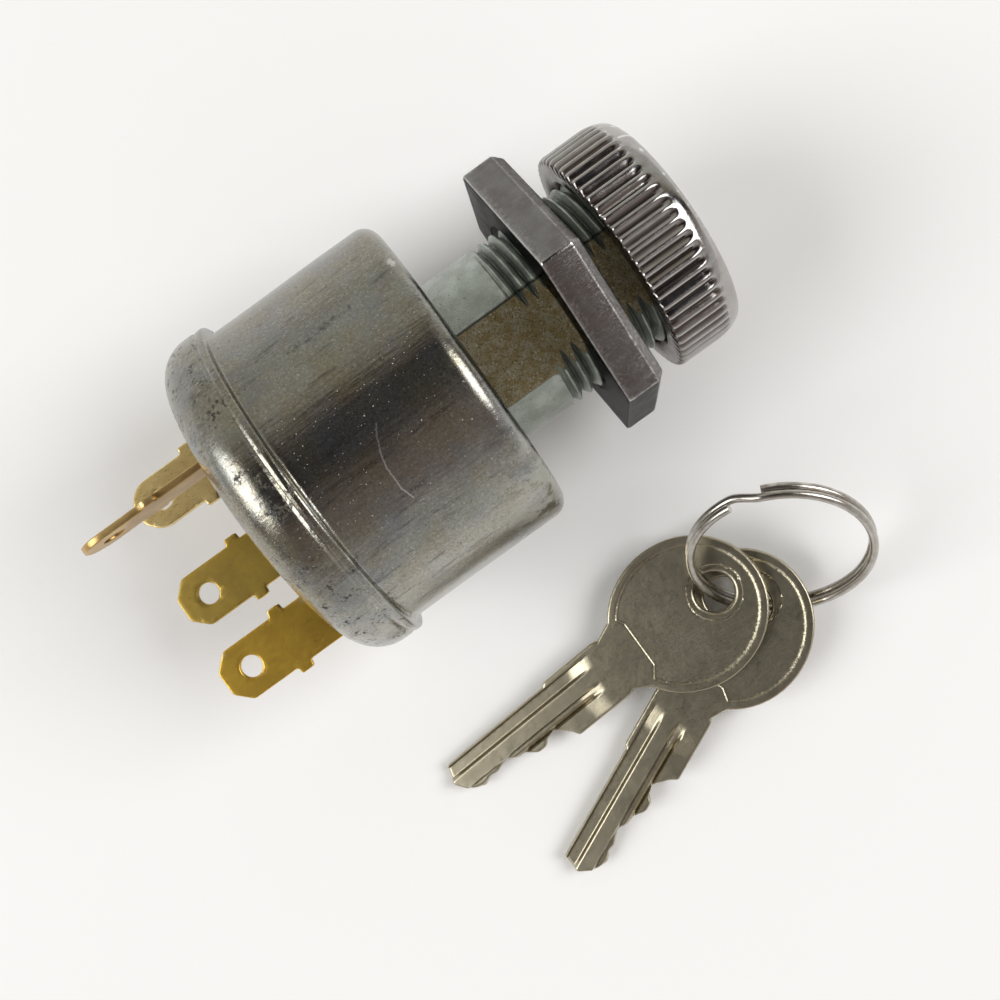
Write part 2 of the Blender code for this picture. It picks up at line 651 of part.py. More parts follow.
def switch_matrix():
    """The switch rests on its rim and on the front edge of its can, nose down."""
    touch = CAN_FRONT - CAN_CORNER
    tilt = math.atan2(RIM_RADIUS - CAN_RADIUS, touch + 0.6)
    height = RIM_RADIUS * math.cos(tilt) - 0.6 * math.sin(tilt)
    turn = Matrix(((0.0, math.sin(tilt), math.cos(tilt)),
                   (1.0, 0.0, 0.0),
                   (0.0, math.cos(tilt), -math.sin(tilt)))).to_4x4()
    return Matrix.Translation((0.0, 0.0, mm(height))) @ turn


def centre_kit(bench, kit):
    """Bring the bottom centre of the whole kit's box to the world origin."""
    bpy.context.view_layer.update()
    graph = bpy.context.evaluated_depsgraph_get()
    low = Vector((1.0, 1.0, 1.0))
    high = -low
    for obj in bench.parts.objects:
        if obj.type == "EMPTY":
            continue
        evaluated = obj.evaluated_get(graph)
        mesh = evaluated.to_mesh()
        for vertex in mesh.vertices:
            point = evaluated.matrix_world @ vertex.co
            low = Vector(map(min, low, point))
            high = Vector(map(max, high, point))
        evaluated.to_mesh_clear()
    kit.location = (-0.5 * (low.x + high.x), -0.5 * (low.y + high.y), -low.z)
    bpy.context.view_layer.update()


def main():
    clear_scene()
    bench = Bench()
    kit = bench.pivot("kit_origin")
    axis = bench.pivot("switch_axis", kit, switch_matrix())
    make_can(bench, axis)
    make_housing(bench, axis)
    make_hex_nut(bench, axis)
    make_bezel_nut(bench, axis)
    make_base(bench, axis)
    make_terminals(bench, axis)
    make_contacts(bench, axis)
    make_rotor(bench, axis)
    make_plug(bench, axis)
    make_wafers(bench, axis)
    make_key_set(bench, kit)
    for obj in bench.parts.objects:
        if obj.type == "MESH":
            soften(obj)
    centre_kit(bench, kit)


main()
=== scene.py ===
# Selector key switch with two keys on a split ring: finished surfaces, floor, light and camera.
# Lengths are millimetres and angles are degrees unless a note says otherwise.
import json
import math

import bmesh
import bpy
import numpy as np
from mathutils import Matrix, Vector
from mathutils.geometry import delaunay_2d_cdt


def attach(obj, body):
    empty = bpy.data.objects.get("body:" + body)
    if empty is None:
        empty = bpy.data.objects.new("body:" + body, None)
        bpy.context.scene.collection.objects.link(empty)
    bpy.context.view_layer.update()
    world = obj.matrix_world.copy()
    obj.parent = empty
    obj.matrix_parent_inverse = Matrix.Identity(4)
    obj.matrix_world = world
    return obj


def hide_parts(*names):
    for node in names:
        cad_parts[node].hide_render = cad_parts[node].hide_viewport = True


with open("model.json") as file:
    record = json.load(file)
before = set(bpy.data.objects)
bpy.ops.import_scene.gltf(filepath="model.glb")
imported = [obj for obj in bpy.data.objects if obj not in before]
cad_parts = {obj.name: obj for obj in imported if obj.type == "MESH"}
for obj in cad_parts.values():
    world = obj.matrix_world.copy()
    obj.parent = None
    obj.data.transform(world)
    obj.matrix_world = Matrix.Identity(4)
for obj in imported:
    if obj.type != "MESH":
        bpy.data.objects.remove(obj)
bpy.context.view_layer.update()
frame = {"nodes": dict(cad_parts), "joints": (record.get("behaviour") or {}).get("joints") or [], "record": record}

mm = 0.001
scene = bpy.context.scene
joints = {joint["name"]: joint for joint in frame["joints"]}


def switchPlace():
    # local Z runs along the switch to the key face, local Y is up, local X is world +Y
    turn = joints["key_turn"]
    along = -Vector(turn["axis"]).normalized()
    side = Vector((0.0, 1.0, 0.0))
    place = Matrix((side, along.cross(side), along)).transposed().to_4x4()
    place.translation = Vector(turn["pos_m"])
    return place


keyPlaces = {  # where each hole is from the upper key's swing axis, and where the key points
    "key_1": dict(hole=(0.0, 0.0, 0.0), heading=-175.14),
    "key_2": dict(hole=(3.3030, -3.6030, -1.3798), heading=-154.54),
}


def keyPlace(name):
    # local X runs from the ring hole to the tip, local Z is the key's upper face
    spot = keyPlaces[name]
    normal = Vector(joints["key_1_swing"]["axis"]).normalized()
    heading = math.radians(spot["heading"])
    ahead = Vector((math.cos(heading), math.sin(heading), 0.0))
    ahead.z = -(normal.x * ahead.x + normal.y * ahead.y) / normal.z
    ahead.normalize()
    place = Matrix((ahead, normal.cross(ahead), normal)).transposed().to_4x4()
    place.translation = Vector(joints["key_1_swing"]["pos_m"]) + Vector(spot["hole"]) * mm
    return place


switchAt = switchPlace()


def addNode(tree, kind, inputs=None, **settings):
    node = tree.nodes.new(kind)
    for name, value in settings.items():
        setattr(node, name, value)
    for key, value in (inputs or {}).items():
        if isinstance(value, bpy.types.NodeSocket):
            tree.links.new(value, node.inputs[key])
        else:
            node.inputs[key].default_value = value
    return node


def mathNode(tree, operation, a, b=0.0, c=0.0, clamp=False):
    node = addNode(tree, "ShaderNodeMath", {0: a, 1: b, 2: c}, operation=operation, use_clamp=clamp)
    return node.outputs[0]


def times(tree, *values):
    product = values[0]
    for value in values[1:]:
        product = mathNode(tree, "MULTIPLY", product, value)
    return product


def minus(tree, a, b):
    return mathNode(tree, "SUBTRACT", a, b)


def weighted(tree, start, *pairs):
    # start plus each value times its weight
    for value, weight in pairs:
        start = mathNode(tree, "MULTIPLY_ADD", value, weight, start)
    return start


def vectorMath(tree, operation, a, b=(0.0, 0.0, 0.0), scale=1.0):
    node = addNode(tree, "ShaderNodeVectorMath", {0: a, 1: b, 3: scale}, operation=operation)
    return node.outputs["Value" if operation in ("DOT_PRODUCT", "LENGTH") else "Vector"]


def ramp(tree, value, low, high, fromLow, fromHigh, blend="SMOOTHSTEP"):
    # from low to high while the value goes between the two limits
    node = addNode(tree, "ShaderNodeMapRange", {
        "Value": value, "From Min": fromLow, "From Max": fromHigh, "To Min": low, "To Max": high},
        interpolation_type=blend)
    return node.outputs["Result"]


def mixColour(tree, factor, a, b):
    node = addNode(tree, "ShaderNodeMix", data_type="RGBA")
    for index, value in ((0, factor), (6, a), (7, b)):
        if isinstance(value, bpy.types.NodeSocket):
            tree.links.new(value, node.inputs[index])
        else:
            node.inputs[index].default_value = value if index == 0 else (*value, 1.0)
    return node.outputs[2]


def noise(tree, point, scale, detail=2.0, roughness=0.5):
    node = addNode(tree, "ShaderNodeTexNoise", {
        "Vector": point, "Scale": scale, "Detail": detail, "Roughness": roughness})
    return node.outputs["Fac"]


def newGroup(name, inputs, outputs):
    tree = bpy.data.node_groups.new(name, "ShaderNodeTree")
    for label, kind, value in inputs:
        socket = tree.interface.new_socket(label, in_out="INPUT", socket_type=kind)
        if value is not None:
            socket.default_value = value
    for label, kind in outputs:
        tree.interface.new_socket(label, in_out="OUTPUT", socket_type=kind)
    return tree, tree.nodes.new("NodeGroupInput").outputs, tree.nodes.new("NodeGroupOutput").inputs


def useGroup(tree, group, **inputs):
    return addNode(tree, "ShaderNodeGroup", inputs, node_tree=group).outputs


floatIn = "NodeSocketFloat"
vectorIn = "NodeSocketVector"


def buildWrapGroup():
    # where a point is on the switch: (round, along, out from the axis), in mm
    tree, ins, outs = newGroup("switchWrap", [("Point", vectorIn, None)], [
        ("Wrap", vectorIn), ("Across", floatIn), ("Up", floatIn)])
    back = switchAt.inverted()
    local = []
    for row in back[:3]:
        dot = vectorMath(tree, "DOT_PRODUCT", ins["Point"], tuple(row[:3]))
        local.append(mathNode(tree, "MULTIPLY_ADD", dot, 1.0 / mm, row[3] / mm))
    across, up, along = local
    radius = mathNode(tree, "SQRT", weighted(tree, times(tree, across, across), (up, up)))
    around = times(tree, mathNode(tree, "ARCTAN2", across, up), radius)
    wrap = addNode(tree, "ShaderNodeCombineXYZ", {0: around, 1: along, 2: radius}).outputs[0]
    for label, value in (("Wrap", wrap), ("Across", across), ("Up", up)):
        tree.links.new(value, outs[label])
    return tree


def buildCloudGroup():
    # cloudy patches with soft edges
    tree, ins, outs = newGroup("cloudyPatches", [
        ("Point", vectorIn, None), ("Scale", floatIn, 1.0), ("Cover", floatIn, 0.5),
        ("Softness", floatIn, 0.1), ("Seed", floatIn, 0.0)], [("Mask", floatIn)])
    cloud = addNode(tree, "ShaderNodeTexNoise", {
        "Vector": ins["Point"], "W": ins["Seed"], "Scale": ins["Scale"], "Detail": 5.0,
        "Roughness": 0.62}, noise_dimensions="4D").outputs["Fac"]
    edge = minus(tree, 1.0, ins["Cover"])
    low = minus(tree, edge, ins["Softness"])
    high = mathNode(tree, "ADD", edge, ins["Softness"])
    tree.links.new(ramp(tree, cloud, 0.0, 1.0, low, high), outs["Mask"])
    return tree


def buildPitGroup():
    # small pits with ragged edges
    tree, ins, outs = newGroup("smallPits", [
        ("Point", vectorIn, None), ("Scale", floatIn, 1.0), ("Size", floatIn, 0.2),
        ("Share", floatIn, 0.3)], [("Mask", floatIn)])
    bent = addNode(tree, "ShaderNodeTexNoise", {"Vector": ins["Point"], "Scale": 2.3, "Detail": 2.0})
    shift = vectorMath(tree, "SUBTRACT", bent.outputs["Color"], (0.5, 0.5, 0.5))
    shift = vectorMath(tree, "SCALE", shift, scale=0.35)
    cells = addNode(tree, "ShaderNodeTexVoronoi", {
        "Vector": vectorMath(tree, "ADD", ins["Point"], shift), "Scale": ins["Scale"]})
    ring = ramp(tree, cells.outputs["Distance"], 0.0, 1.0, ins["Size"], 0.0, "LINEAR")
    pick = addNode(tree, "ShaderNodeSeparateColor", {"Color": cells.outputs["Color"]}).outputs[0]
    chosen = mathNode(tree, "LESS_THAN", pick, ins["Share"])
    tree.links.new(mathNode(tree, "MULTIPLY", ring, chosen, clamp=True), outs["Mask"])
    return tree


def buildBrushGroup():
    # fine marks that run along the first coordinate
    tree, ins, outs = newGroup("brushMarks", [
        ("Point", vectorIn, None), ("Across", floatIn, 8.0), ("Along", floatIn, 0.4)], [("Mask", floatIn)])
    stretch = addNode(tree, "ShaderNodeCombineXYZ", {0: ins["Along"], 1: ins["Across"], 2: ins["Across"]})
    fine = noise(tree, vectorMath(tree, "MULTIPLY", ins["Point"], stretch.outputs[0]), 1.0, 4.0, 0.7)
    tree.links.new(minus(tree, fine, 0.5), outs["Mask"])
    return tree


def buildWearAndLightGroup():
    # outside edges brightened by wear and by a painted highlight, inside corners darkened by soiling and by
    # painted shade
    tree, ins, outs = newGroup("edgeWearLightShade", [
        ("Point", vectorIn, None), ("Start", floatIn, 0.52), ("End", floatIn, 0.6)],
        [("Edge", floatIn), ("Corner", floatIn)])
    sharp = addNode(tree, "ShaderNodeNewGeometry").outputs["Pointiness"]
    broken = mathNode(tree, "MULTIPLY_ADD", noise(tree, ins["Point"], 3.0, 4.0), 0.05, -0.025)
    shown = mathNode(tree, "ADD", sharp, broken)
    for label, value in (("Edge", shown), ("Corner", minus(tree, 1.0, shown))):
        tree.links.new(ramp(tree, value, 0.0, 1.0, ins["Start"], ins["End"], "LINEAR"), outs[label])
    return tree


def buildScratchGroup():
    # one wandering scratch between two points of a flat or wrapped surface
    tree, ins, outs = newGroup("wanderingScratch", [
        ("Point", vectorIn, None), ("Start", vectorIn, None), ("End", vectorIn, None),
        ("Wander", floatIn, 0.3), ("Bow", floatIn, 0.0), ("Width", floatIn, 0.1)], [("Mask", floatIn)])
    run = vectorMath(tree, "SUBTRACT", ins["End"], ins["Start"])
    here = vectorMath(tree, "SUBTRACT", ins["Point"], ins["Start"])
    unit = vectorMath(tree, "NORMALIZE", run)
    travel = vectorMath(tree, "DOT_PRODUCT", here, unit)
    share = mathNode(tree, "DIVIDE", travel, vectorMath(tree, "LENGTH", run))
    left = vectorMath(tree, "CROSS_PRODUCT", unit, (0.0, 0.0, 1.0))
    sideways = vectorMath(tree, "DOT_PRODUCT", here, left)
    wave = addNode(tree, "ShaderNodeTexNoise", {"W": travel, "Scale": 0.8, "Detail": 3.0},
                   noise_dimensions="1D").outputs["Fac"]
    wobble = times(tree, minus(tree, wave, 0.5), ins["Wander"])
    arch = times(tree, share, minus(tree, 1.0, share), ins["Bow"], 4.0)
    off = mathNode(tree, "ABSOLUTE", minus(tree, minus(tree, sideways, wobble), arch))
    line = ramp(tree, off, 0.0, 1.0, ins["Width"], 0.0, "LINEAR")
    within = times(tree, mathNode(tree, "GREATER_THAN", share, 0.0), mathNode(tree, "LESS_THAN", share, 1.0))
    tree.links.new(mathNode(tree, "MULTIPLY", line, within, clamp=True), outs["Mask"])
    return tree


print("building the shared surface effects")
wrapGroup = buildWrapGroup()
cloudGroup = buildCloudGroup()
pitGroup = buildPitGroup()
brushGroup = buildBrushGroup()
wearAndLightGroup = buildWearAndLightGroup()
scratchGroup = buildScratchGroup()


def startMaterial(name, metallic, edgeTint=1.0):
    material = bpy.data.materials.new(name)
    material.use_nodes = True
    tree = material.node_tree
    shader = tree.nodes["Principled BSDF"]
    shader.inputs["Metallic"].default_value = metallic
    shader.inputs["Specular Tint"].default_value = (edgeTint, edgeTint, edgeTint, 1.0)
    point = tree.nodes.new("ShaderNodeTexCoord").outputs["Object"]
    point = vectorMath(tree, "SCALE", point, scale=1.0 / mm)
    return material, tree, shader, point


def closeMaterial(tree, shader, colour, rough, height, relief):
    # relief is the bump's strength and its distance in mm
    bump = addNode(tree, "ShaderNodeBump", {
        "Height": height, "Strength": relief[0], "Distance": relief[1] * mm})
    for label, value in (("Base Color", colour), ("Roughness", rough), ("Normal", bump.outputs["Normal"])):
        tree.links.new(value, shader.inputs[label])


def clouds(tree, point, scale, cover, softness, seed):
    return useGroup(tree, cloudGroup, Point=point, Scale=scale, Cover=cover, Softness=softness,
                    Seed=seed)["Mask"]


def pits(tree, point, scale, size, share):
    return useGroup(tree, pitGroup, Point=point, Scale=scale, Size=size, Share=share)["Mask"]


def brush(tree, point, across, along):
    return useGroup(tree, brushGroup, Point=point, Across=across, Along=along)["Mask"]


def wearAndPaintedLight(tree, point, colour, limits, dirtAndShadeShare, dirtAndShade, brightShare, bright):
    # soiling and painted shade into the corners, then bright metal and a painted highlight on the edges
    edge = useGroup(tree, wearAndLightGroup, Point=point, Start=limits[0], End=limits[1])
    colour = mixColour(tree, times(tree, edge["Corner"], dirtAndShadeShare), colour, dirtAndShade)
    return mixColour(tree, times(tree, edge["Edge"], brightShare), colour, bright)


def stained(tree, point, colour, stain):
    tint, strength, cloud = stain
    return mixColour(tree, times(tree, clouds(tree, point, *cloud), strength), colour, tint)


def wrapOf(tree):
    # the place on the switch, and its round, along and outward parts
    outs = useGroup(tree, wrapGroup, Point=tree.nodes.new("ShaderNodeTexCoord").outputs["Object"])
    return outs, addNode(tree, "ShaderNodeSeparateXYZ", {0: outs["Wrap"]}).outputs


# Stains are (colour, strength, cloud); a cloud is (scale, cover, softness, seed); pits are (scale,
# size, share); brush marks are (across, along); noise is (scale, detail, roughness). A fade holds its
# two values and the two places, in mm or in noise level, between which it goes from one to the other.
zincLook = dict(
    base=(0.31, 0.31, 0.285), shade=(0.16, 0.155, 0.13), pale=(0.52, 0.52, 0.48), smear=(0.10, 0.085, 0.08),
    chalk=(0.62, 0.63, 0.58), black=(0.035, 0.035, 0.035), dust=(0.85, 0.84, 0.80), hairline=(0.8, 0.8, 0.78),
    golden=((0.29, 0.27, 0.20), 1.0, (0.16, 0.5, 0.16, 1.0)),
    brown=((0.22, 0.17, 0.14), 0.42, (0.35, 0.42, 0.16, 4.0)),
    blue=((0.20, 0.225, 0.27), 0.4, (0.28, 0.42, 0.14, 9.0)),
    shadeFade=(0.0, 0.45, 6.0, 20.0), paintedLightFade=(0.0, 0.75, -11.0, -27.0), rimFade=(1.0, 0.0, -0.3, 1.2),
    chalkFades=((0.0, 1.0, 12.0, 21.0), (0.0, 1.0, -2.0, -22.0)), dustFade=(1.0, 0.3, 4.0, 14.0),
    streaks=(0.55, 0.06), smears=(0.9, 0.12), smearFade=(0.0, 0.7, 0.05, 0.2),
    mottle=(3.4, 5.0, 0.75), mottleDark=(0.0, 0.6, 0.5, 0.66), mottlePale=(0.5, 0.0, 0.34, 0.48),
    chalkCloud=(0.55, 0.5, 0.05, 3.0), pitCloud=(0.5, 0.44, 0.07, 6.0), pitMarks=(2.6, 0.46, 0.04, 2.0),
    dentCloud=(2.2, 0.5, 0.08, 8.0), dustCloud=(0.3, 0.62, 0.12, 12.0),
    specks=(1.4, 0.24, 0.16), dustGrains=(2.6, 0.17, 0.3), grain=(7.0, 5.0), wide=(0.45, 2.0),
    dent=dict(Start=(10.3, 6.6, 0.0), End=(10.7, 14.4, 0.0), Wander=1.1, Width=0.55),
    hair=dict(Start=(-0.9, 9.9, 0.0), End=(-9.2, 8.5, 0.0), Wander=0.5, Bow=-0.95, Width=0.13),
    wearAndLight=((0.53, 0.62), 0.6, (0.08, 0.08, 0.07), 0.5, (0.72, 0.72, 0.70)), rough=0.16, relief=(0.34, 0.08))


def zincCan():
    # thin zinc plate over steel, stained by its passivation and by handling; painted shade and painted light on
    # its two sides
    look = zincLook
    material, tree, shader, point = startMaterial("zincCan", 1.0)
    outs, (around, along, outward) = wrapOf(tree)
    colour = look["base"]
    for stain in ("golden", "brown"):
        colour = stained(tree, point, colour, look[stain])
    # painted shade darkens the can towards +Y, painted light makes it paler towards -Y
    colour = mixColour(tree, ramp(tree, around, *look["shadeFade"]), colour, look["shade"])
    colour = mixColour(tree, ramp(tree, around, *look["paintedLightFade"]), colour, look["pale"])
    lengthwise = addNode(tree, "ShaderNodeCombineXYZ", {0: along, 1: around, 2: outward}).outputs[0]
    streaks = brush(tree, lengthwise, *look["streaks"])
    smears = ramp(tree, brush(tree, lengthwise, *look["smears"]), *look["smearFade"])
    colour = mixColour(tree, smears, colour, look["smear"])
    mottle = noise(tree, point, *look["mottle"])
    colour = mixColour(tree, ramp(tree, mottle, *look["mottleDark"]), colour, look["shade"])
    colour = mixColour(tree, ramp(tree, mottle, *look["mottlePale"]), colour, look["pale"])
    colour = stained(tree, point, colour, look["blue"])
    alongFade, aroundFade = look["chalkFades"]
    chalk = times(tree, clouds(tree, point, *look["chalkCloud"]), ramp(tree, along, *alongFade),
                  ramp(tree, around, *aroundFade))
    colour = mixColour(tree, times(tree, chalk, 0.55), colour, look["chalk"])
    pitMarks = times(tree, clouds(tree, point, *look["pitMarks"]), clouds(tree, point, *look["pitCloud"]),
                     ramp(tree, along, *look["rimFade"]))
    specks = times(tree, pits(tree, point, *look["specks"]), 0.7)
    black = mathNode(tree, "MAXIMUM", pitMarks, specks)
    dent = useGroup(tree, scratchGroup, Point=outs["Wrap"], **look["dent"])["Mask"]
    dent = times(tree, dent, clouds(tree, point, *look["dentCloud"]))
    hair = useGroup(tree, scratchGroup, Point=outs["Wrap"], **look["hair"])["Mask"]
    colour = mixColour(tree, times(tree, black, 0.85), colour, look["black"])
    colour = mixColour(tree, times(tree, dent, 0.7), colour, look["black"])
    colour = mixColour(tree, hair, colour, look["hairline"])
    dust = times(tree, pits(tree, point, *look["dustGrains"]), clouds(tree, point, *look["dustCloud"]),
                 ramp(tree, around, *look["dustFade"]))
    tree.links.new(minus(tree, 1.0, dust), shader.inputs["Metallic"])
    colour = mixColour(tree, dust, colour, look["dust"])
    colour = wearAndPaintedLight(tree, point, colour, *look["wearAndLight"])
    grain = noise(tree, point, *look["grain"])
    rough = weighted(tree, look["rough"], (grain, 0.16), (chalk, 0.25), (dust, 0.5), (black, 0.3))
    wide = noise(tree, point, *look["wide"])
    height = weighted(tree, wide, (grain, 0.3), (mottle, 0.35), (streaks, 2.2), (black, -0.4), (dent, -0.6))
    closeMaterial(tree, shader, colour, rough, height, look["relief"])
    return material


neckLook = dict(
    base=(0.34, 0.37, 0.33), gold=(0.42, 0.33, 0.165), deep=(0.06, 0.065, 0.055), glint=(0.92, 0.86, 0.68),
    umber=(0.14, 0.11, 0.05), pale=((0.46, 0.50, 0.46), 1.0, (0.4, 0.5, 0.12, 2.0)),
    sand=((0.56, 0.50, 0.35), 1.0, (1.3, 0.5, 0.14, 5.0)),
    dapple=(4.5, 3.0, 0.7), umberFade=(0.0, 0.65, 0.52, 0.62),
    glints=(2.8, 0.32, 0.5), specks=(1.6, 0.2, 0.2), grooveShadeFade=(0.92, 0.0, 9.35, 9.95), threadFrom=27.95,
    flatTurn=13.8, flatFade=(0.0, 1.0, 8.96, 9.06), edgeShadowAt=4.62, edgeShadowFade=(0.9, 0.0, 0.06, 0.2),
    wearAndLight=((0.53, 0.63), 0.75, (0.06, 0.065, 0.055), 0.6, (0.62, 0.62, 0.56)),
    grit=(5.2, 4.0, 0.8), gritFade=(0.22, 0.5, 0.3, 0.7), swell=(0.5, 3.0), relief=(0.75, 0.16))


def castNeck():
    # die-cast zinc: grey-green where turned, sandy gold on the two flats
    look = neckLook
    material, tree, shader, point = startMaterial("castNeck", 1.0)
    outs, (_, along, outward) = wrapOf(tree)
    sine, cosine = math.sin(math.radians(look["flatTurn"])), math.cos(math.radians(look["flatTurn"]))
    side = weighted(tree, times(tree, outs["Across"], -sine), (outs["Up"], cosine))
    sideways = weighted(tree, times(tree, outs["Across"], cosine), (outs["Up"], sine))
    onFlat = ramp(tree, mathNode(tree, "ABSOLUTE", side), *look["flatFade"])
    colour = mixColour(tree, onFlat, stained(tree, point, look["base"], look["pale"]),
                       stained(tree, point, look["gold"], look["sand"]))
    umber = ramp(tree, noise(tree, point, *look["dapple"]), *look["umberFade"])
    colour = mixColour(tree, times(tree, umber, onFlat), colour, look["umber"])
    glint = times(tree, pits(tree, point, *look["glints"]), onFlat)
    colour = mixColour(tree, glint, colour, look["glint"])
    tree.links.new(minus(tree, 1.0, glint), shader.inputs["Metallic"])
    # painted shade: the thread roots darkened towards their bottom
    groove = times(tree, ramp(tree, outward, *look["grooveShadeFade"]), minus(tree, 1.0, onFlat),
                   mathNode(tree, "GREATER_THAN", along, look["threadFrom"]))
    colour = mixColour(tree, groove, colour, look["deep"])
    specks = pits(tree, point, *look["specks"])
    colour = mixColour(tree, times(tree, specks, 0.7), colour, look["deep"])
    # painted shadow: a thin dark line along the edge of the upper flat
    edgeShadow = ramp(tree, mathNode(tree, "ABSOLUTE", minus(tree, sideways, look["edgeShadowAt"])), *look["edgeShadowFade"])
    edgeShadow = times(tree, edgeShadow, mathNode(tree, "GREATER_THAN", side, 0.0))
    colour = mixColour(tree, edgeShadow, colour, look["deep"])
    colour = wearAndPaintedLight(tree, point, colour, *look["wearAndLight"])
    grit = noise(tree, point, *look["grit"])
    least, onFlats = look["swell"]
    swell = mathNode(tree, "MULTIPLY_ADD", onFlat, onFlats, least)
    height = weighted(tree, times(tree, grit, swell), (specks, -0.5))
    closeMaterial(tree, shader, colour, ramp(tree, grit, *look["gritFade"]), height, look["relief"])
    return material


chromeLook = dict(
    haze=(0.5, 0.5, 0.16, 3.0), dust=(2.4, 0.22, 0.12), dustColour=(0.12, 0.1, 0.09),
    grooveShadeColour=(0.11, 0.085, 0.075),
    rearShade=(0.02, 0.018, 0.018), rearShadeFade=0.08, alongMarks=0.25, wide=(0.7, 2.0), relief=(0.4, 0.08),
    wearAndLight=(0.55, (0.10, 0.085, 0.075), 0.7, (0.85, 0.85, 0.84)))


def platedChrome(name, colour, dull, rough, marks, scratches, edgeWearLightLimits, rear, grooveShadeFade, grooveEnd,
                 edgeTint=1.0):
    # chrome plate: polishing marks along the piece, painted shade in its grooves and behind the rear station
    look = chromeLook
    material, tree, shader, point = startMaterial(name, 1.0, edgeTint)
    outs, (around, along, outward) = wrapOf(tree)
    haze = clouds(tree, point, *look["haze"])
    tone = mixColour(tree, times(tree, haze, 0.7), colour, dull)
    tone = mixColour(tree, times(tree, pits(tree, point, *look["dust"]), 0.45), tone, look["dustColour"])
    # painted shade: darker towards the bottom of the grooves
    groove = times(tree, ramp(tree, outward, *grooveShadeFade), mathNode(tree, "LESS_THAN", along, grooveEnd))
    tone = mixColour(tree, groove, tone, look["grooveShadeColour"])
    tone = wearAndPaintedLight(tree, point, tone, edgeWearLightLimits, *look["wearAndLight"])
    # painted shade: the faces behind the rear station made nearly black
    tone = mixColour(tree, ramp(tree, along, 0.93, 0.0, rear, rear + look["rearShadeFade"]), tone, look["rearShade"])
    turned = addNode(tree, "ShaderNodeCombineXYZ", {0: along, 1: around, 2: outward}).outputs[0]
    lines = brush(tree, turned, marks, look["alongMarks"])
    level = weighted(tree, rough, (lines, 0.25), (haze, 0.08))
    height = weighted(tree, times(tree, lines, scratches), (noise(tree, point, *look["wide"]), 0.5))
    closeMaterial(tree, shader, tone, level, height, look["relief"])
    return material


brassLook = dict(
    tarnish=(0.3, 0.5, 0.16, 1.0), spots=(2.0, 0.22, 0.1), spotColour=(0.12, 0.06, 0.02), edge=(0.53, 0.62),
    edgeColour=(0.86, 0.68, 0.34), lines=(9.0, 0.8), grain=(9.0, 4.0), relief=(0.35, 0.03))


def sheetBrass(name, colour, tarnish, rough=0.34):
    # rolled brass with a thin tarnish, brighter on its cut edges from bare metal and from a painted highlight
    look = brassLook
    material, tree, shader, point = startMaterial(name, 1.0)
    tone = stained(tree, point, colour, (tarnish, 1.0, look["tarnish"]))
    tone = mixColour(tree, times(tree, pits(tree, point, *look["spots"]), 0.6), tone, look["spotColour"])
    tone = wearAndPaintedLight(tree, point, tone, look["edge"], 0.0, colour, 0.6, look["edgeColour"])
    lines = brush(tree, point, *look["lines"])
    grain = noise(tree, point, *look["grain"])
    level = weighted(tree, rough - 0.07, (grain, 0.14), (lines, 0.2))
    closeMaterial(tree, shader, tone, level, weighted(tree, lines, (grain, 0.6)), look["relief"])
    return material


nickelLook = dict(
    base=(0.48, 0.435, 0.32), cloud=((0.38, 0.345, 0.245), 1.0, (0.22, 0.5, 0.2, 2.0)),
    haze=((0.29, 0.275, 0.215), 0.5, (0.6, 0.4, 0.1, 7.0)),
    spots=(1.1, 0.2, 0.1), spotColour=(0.1, 0.08, 0.05),
    wearAndLight=((0.515, 0.57), 0.75, (0.09, 0.07, 0.045), 0.35, (0.62, 0.57, 0.48)),
    grain=(6.0, 5.0), lines=(6.0, 0.7), wide=(0.5, 2.0), rough=0.24, relief=(0.5, 0.06))


def keyNickel():
    # nickel plate over brass, handled: soft clouds, edges brightened by wear and by a painted highlight, corners
    # darkened by soiling and by painted shade
    look = nickelLook
    material, tree, shader, point = startMaterial("keyNickel", 1.0)
    tone = look["base"]
    for stain in ("cloud", "haze"):
        tone = stained(tree, point, tone, look[stain])
    tone = mixColour(tree, times(tree, pits(tree, point, *look["spots"]), 0.6), tone, look["spotColour"])
    tone = wearAndPaintedLight(tree, point, tone, *look["wearAndLight"])
    grain = noise(tree, point, *look["grain"])
    level = weighted(tree, look["rough"], (grain, 0.16), (brush(tree, point, *look["lines"]), 0.12))
    height = weighted(tree, times(tree, grain, 0.25), (noise(tree, point, *look["wide"]), 1.1))
    closeMaterial(tree, shader, tone, level, height, look["relief"])
    return material


plainLook = dict(edge=(0.53, 0.64), softness=0.2, seed=3.0, bump=0.5)


def plainFinish(name, colour, second, metallic, rough, scale=0.8, grainSize=8.0, depth=0.02):
    # one colour that drifts a little to a second, with fine grain and edges brightened by wear and by a painted
    # highlight
    look = plainLook
    material, tree, shader, point = startMaterial(name, metallic)
    tone = stained(tree, point, colour, (second, 1.0, (scale, 0.5, look["softness"], look["seed"])))
    lighter = tuple(min(1.0, value * 1.5 + 0.04) for value in colour)
    tone = wearAndPaintedLight(tree, point, tone, look["edge"], 0.0, colour, 0.5, lighter)
    grain = noise(tree, point, grainSize, 4.0)
    level = weighted(tree, rough - 0.08, (grain, 0.16))
    closeMaterial(tree, shader, tone, level, grain, (look["bump"], depth))
    return material


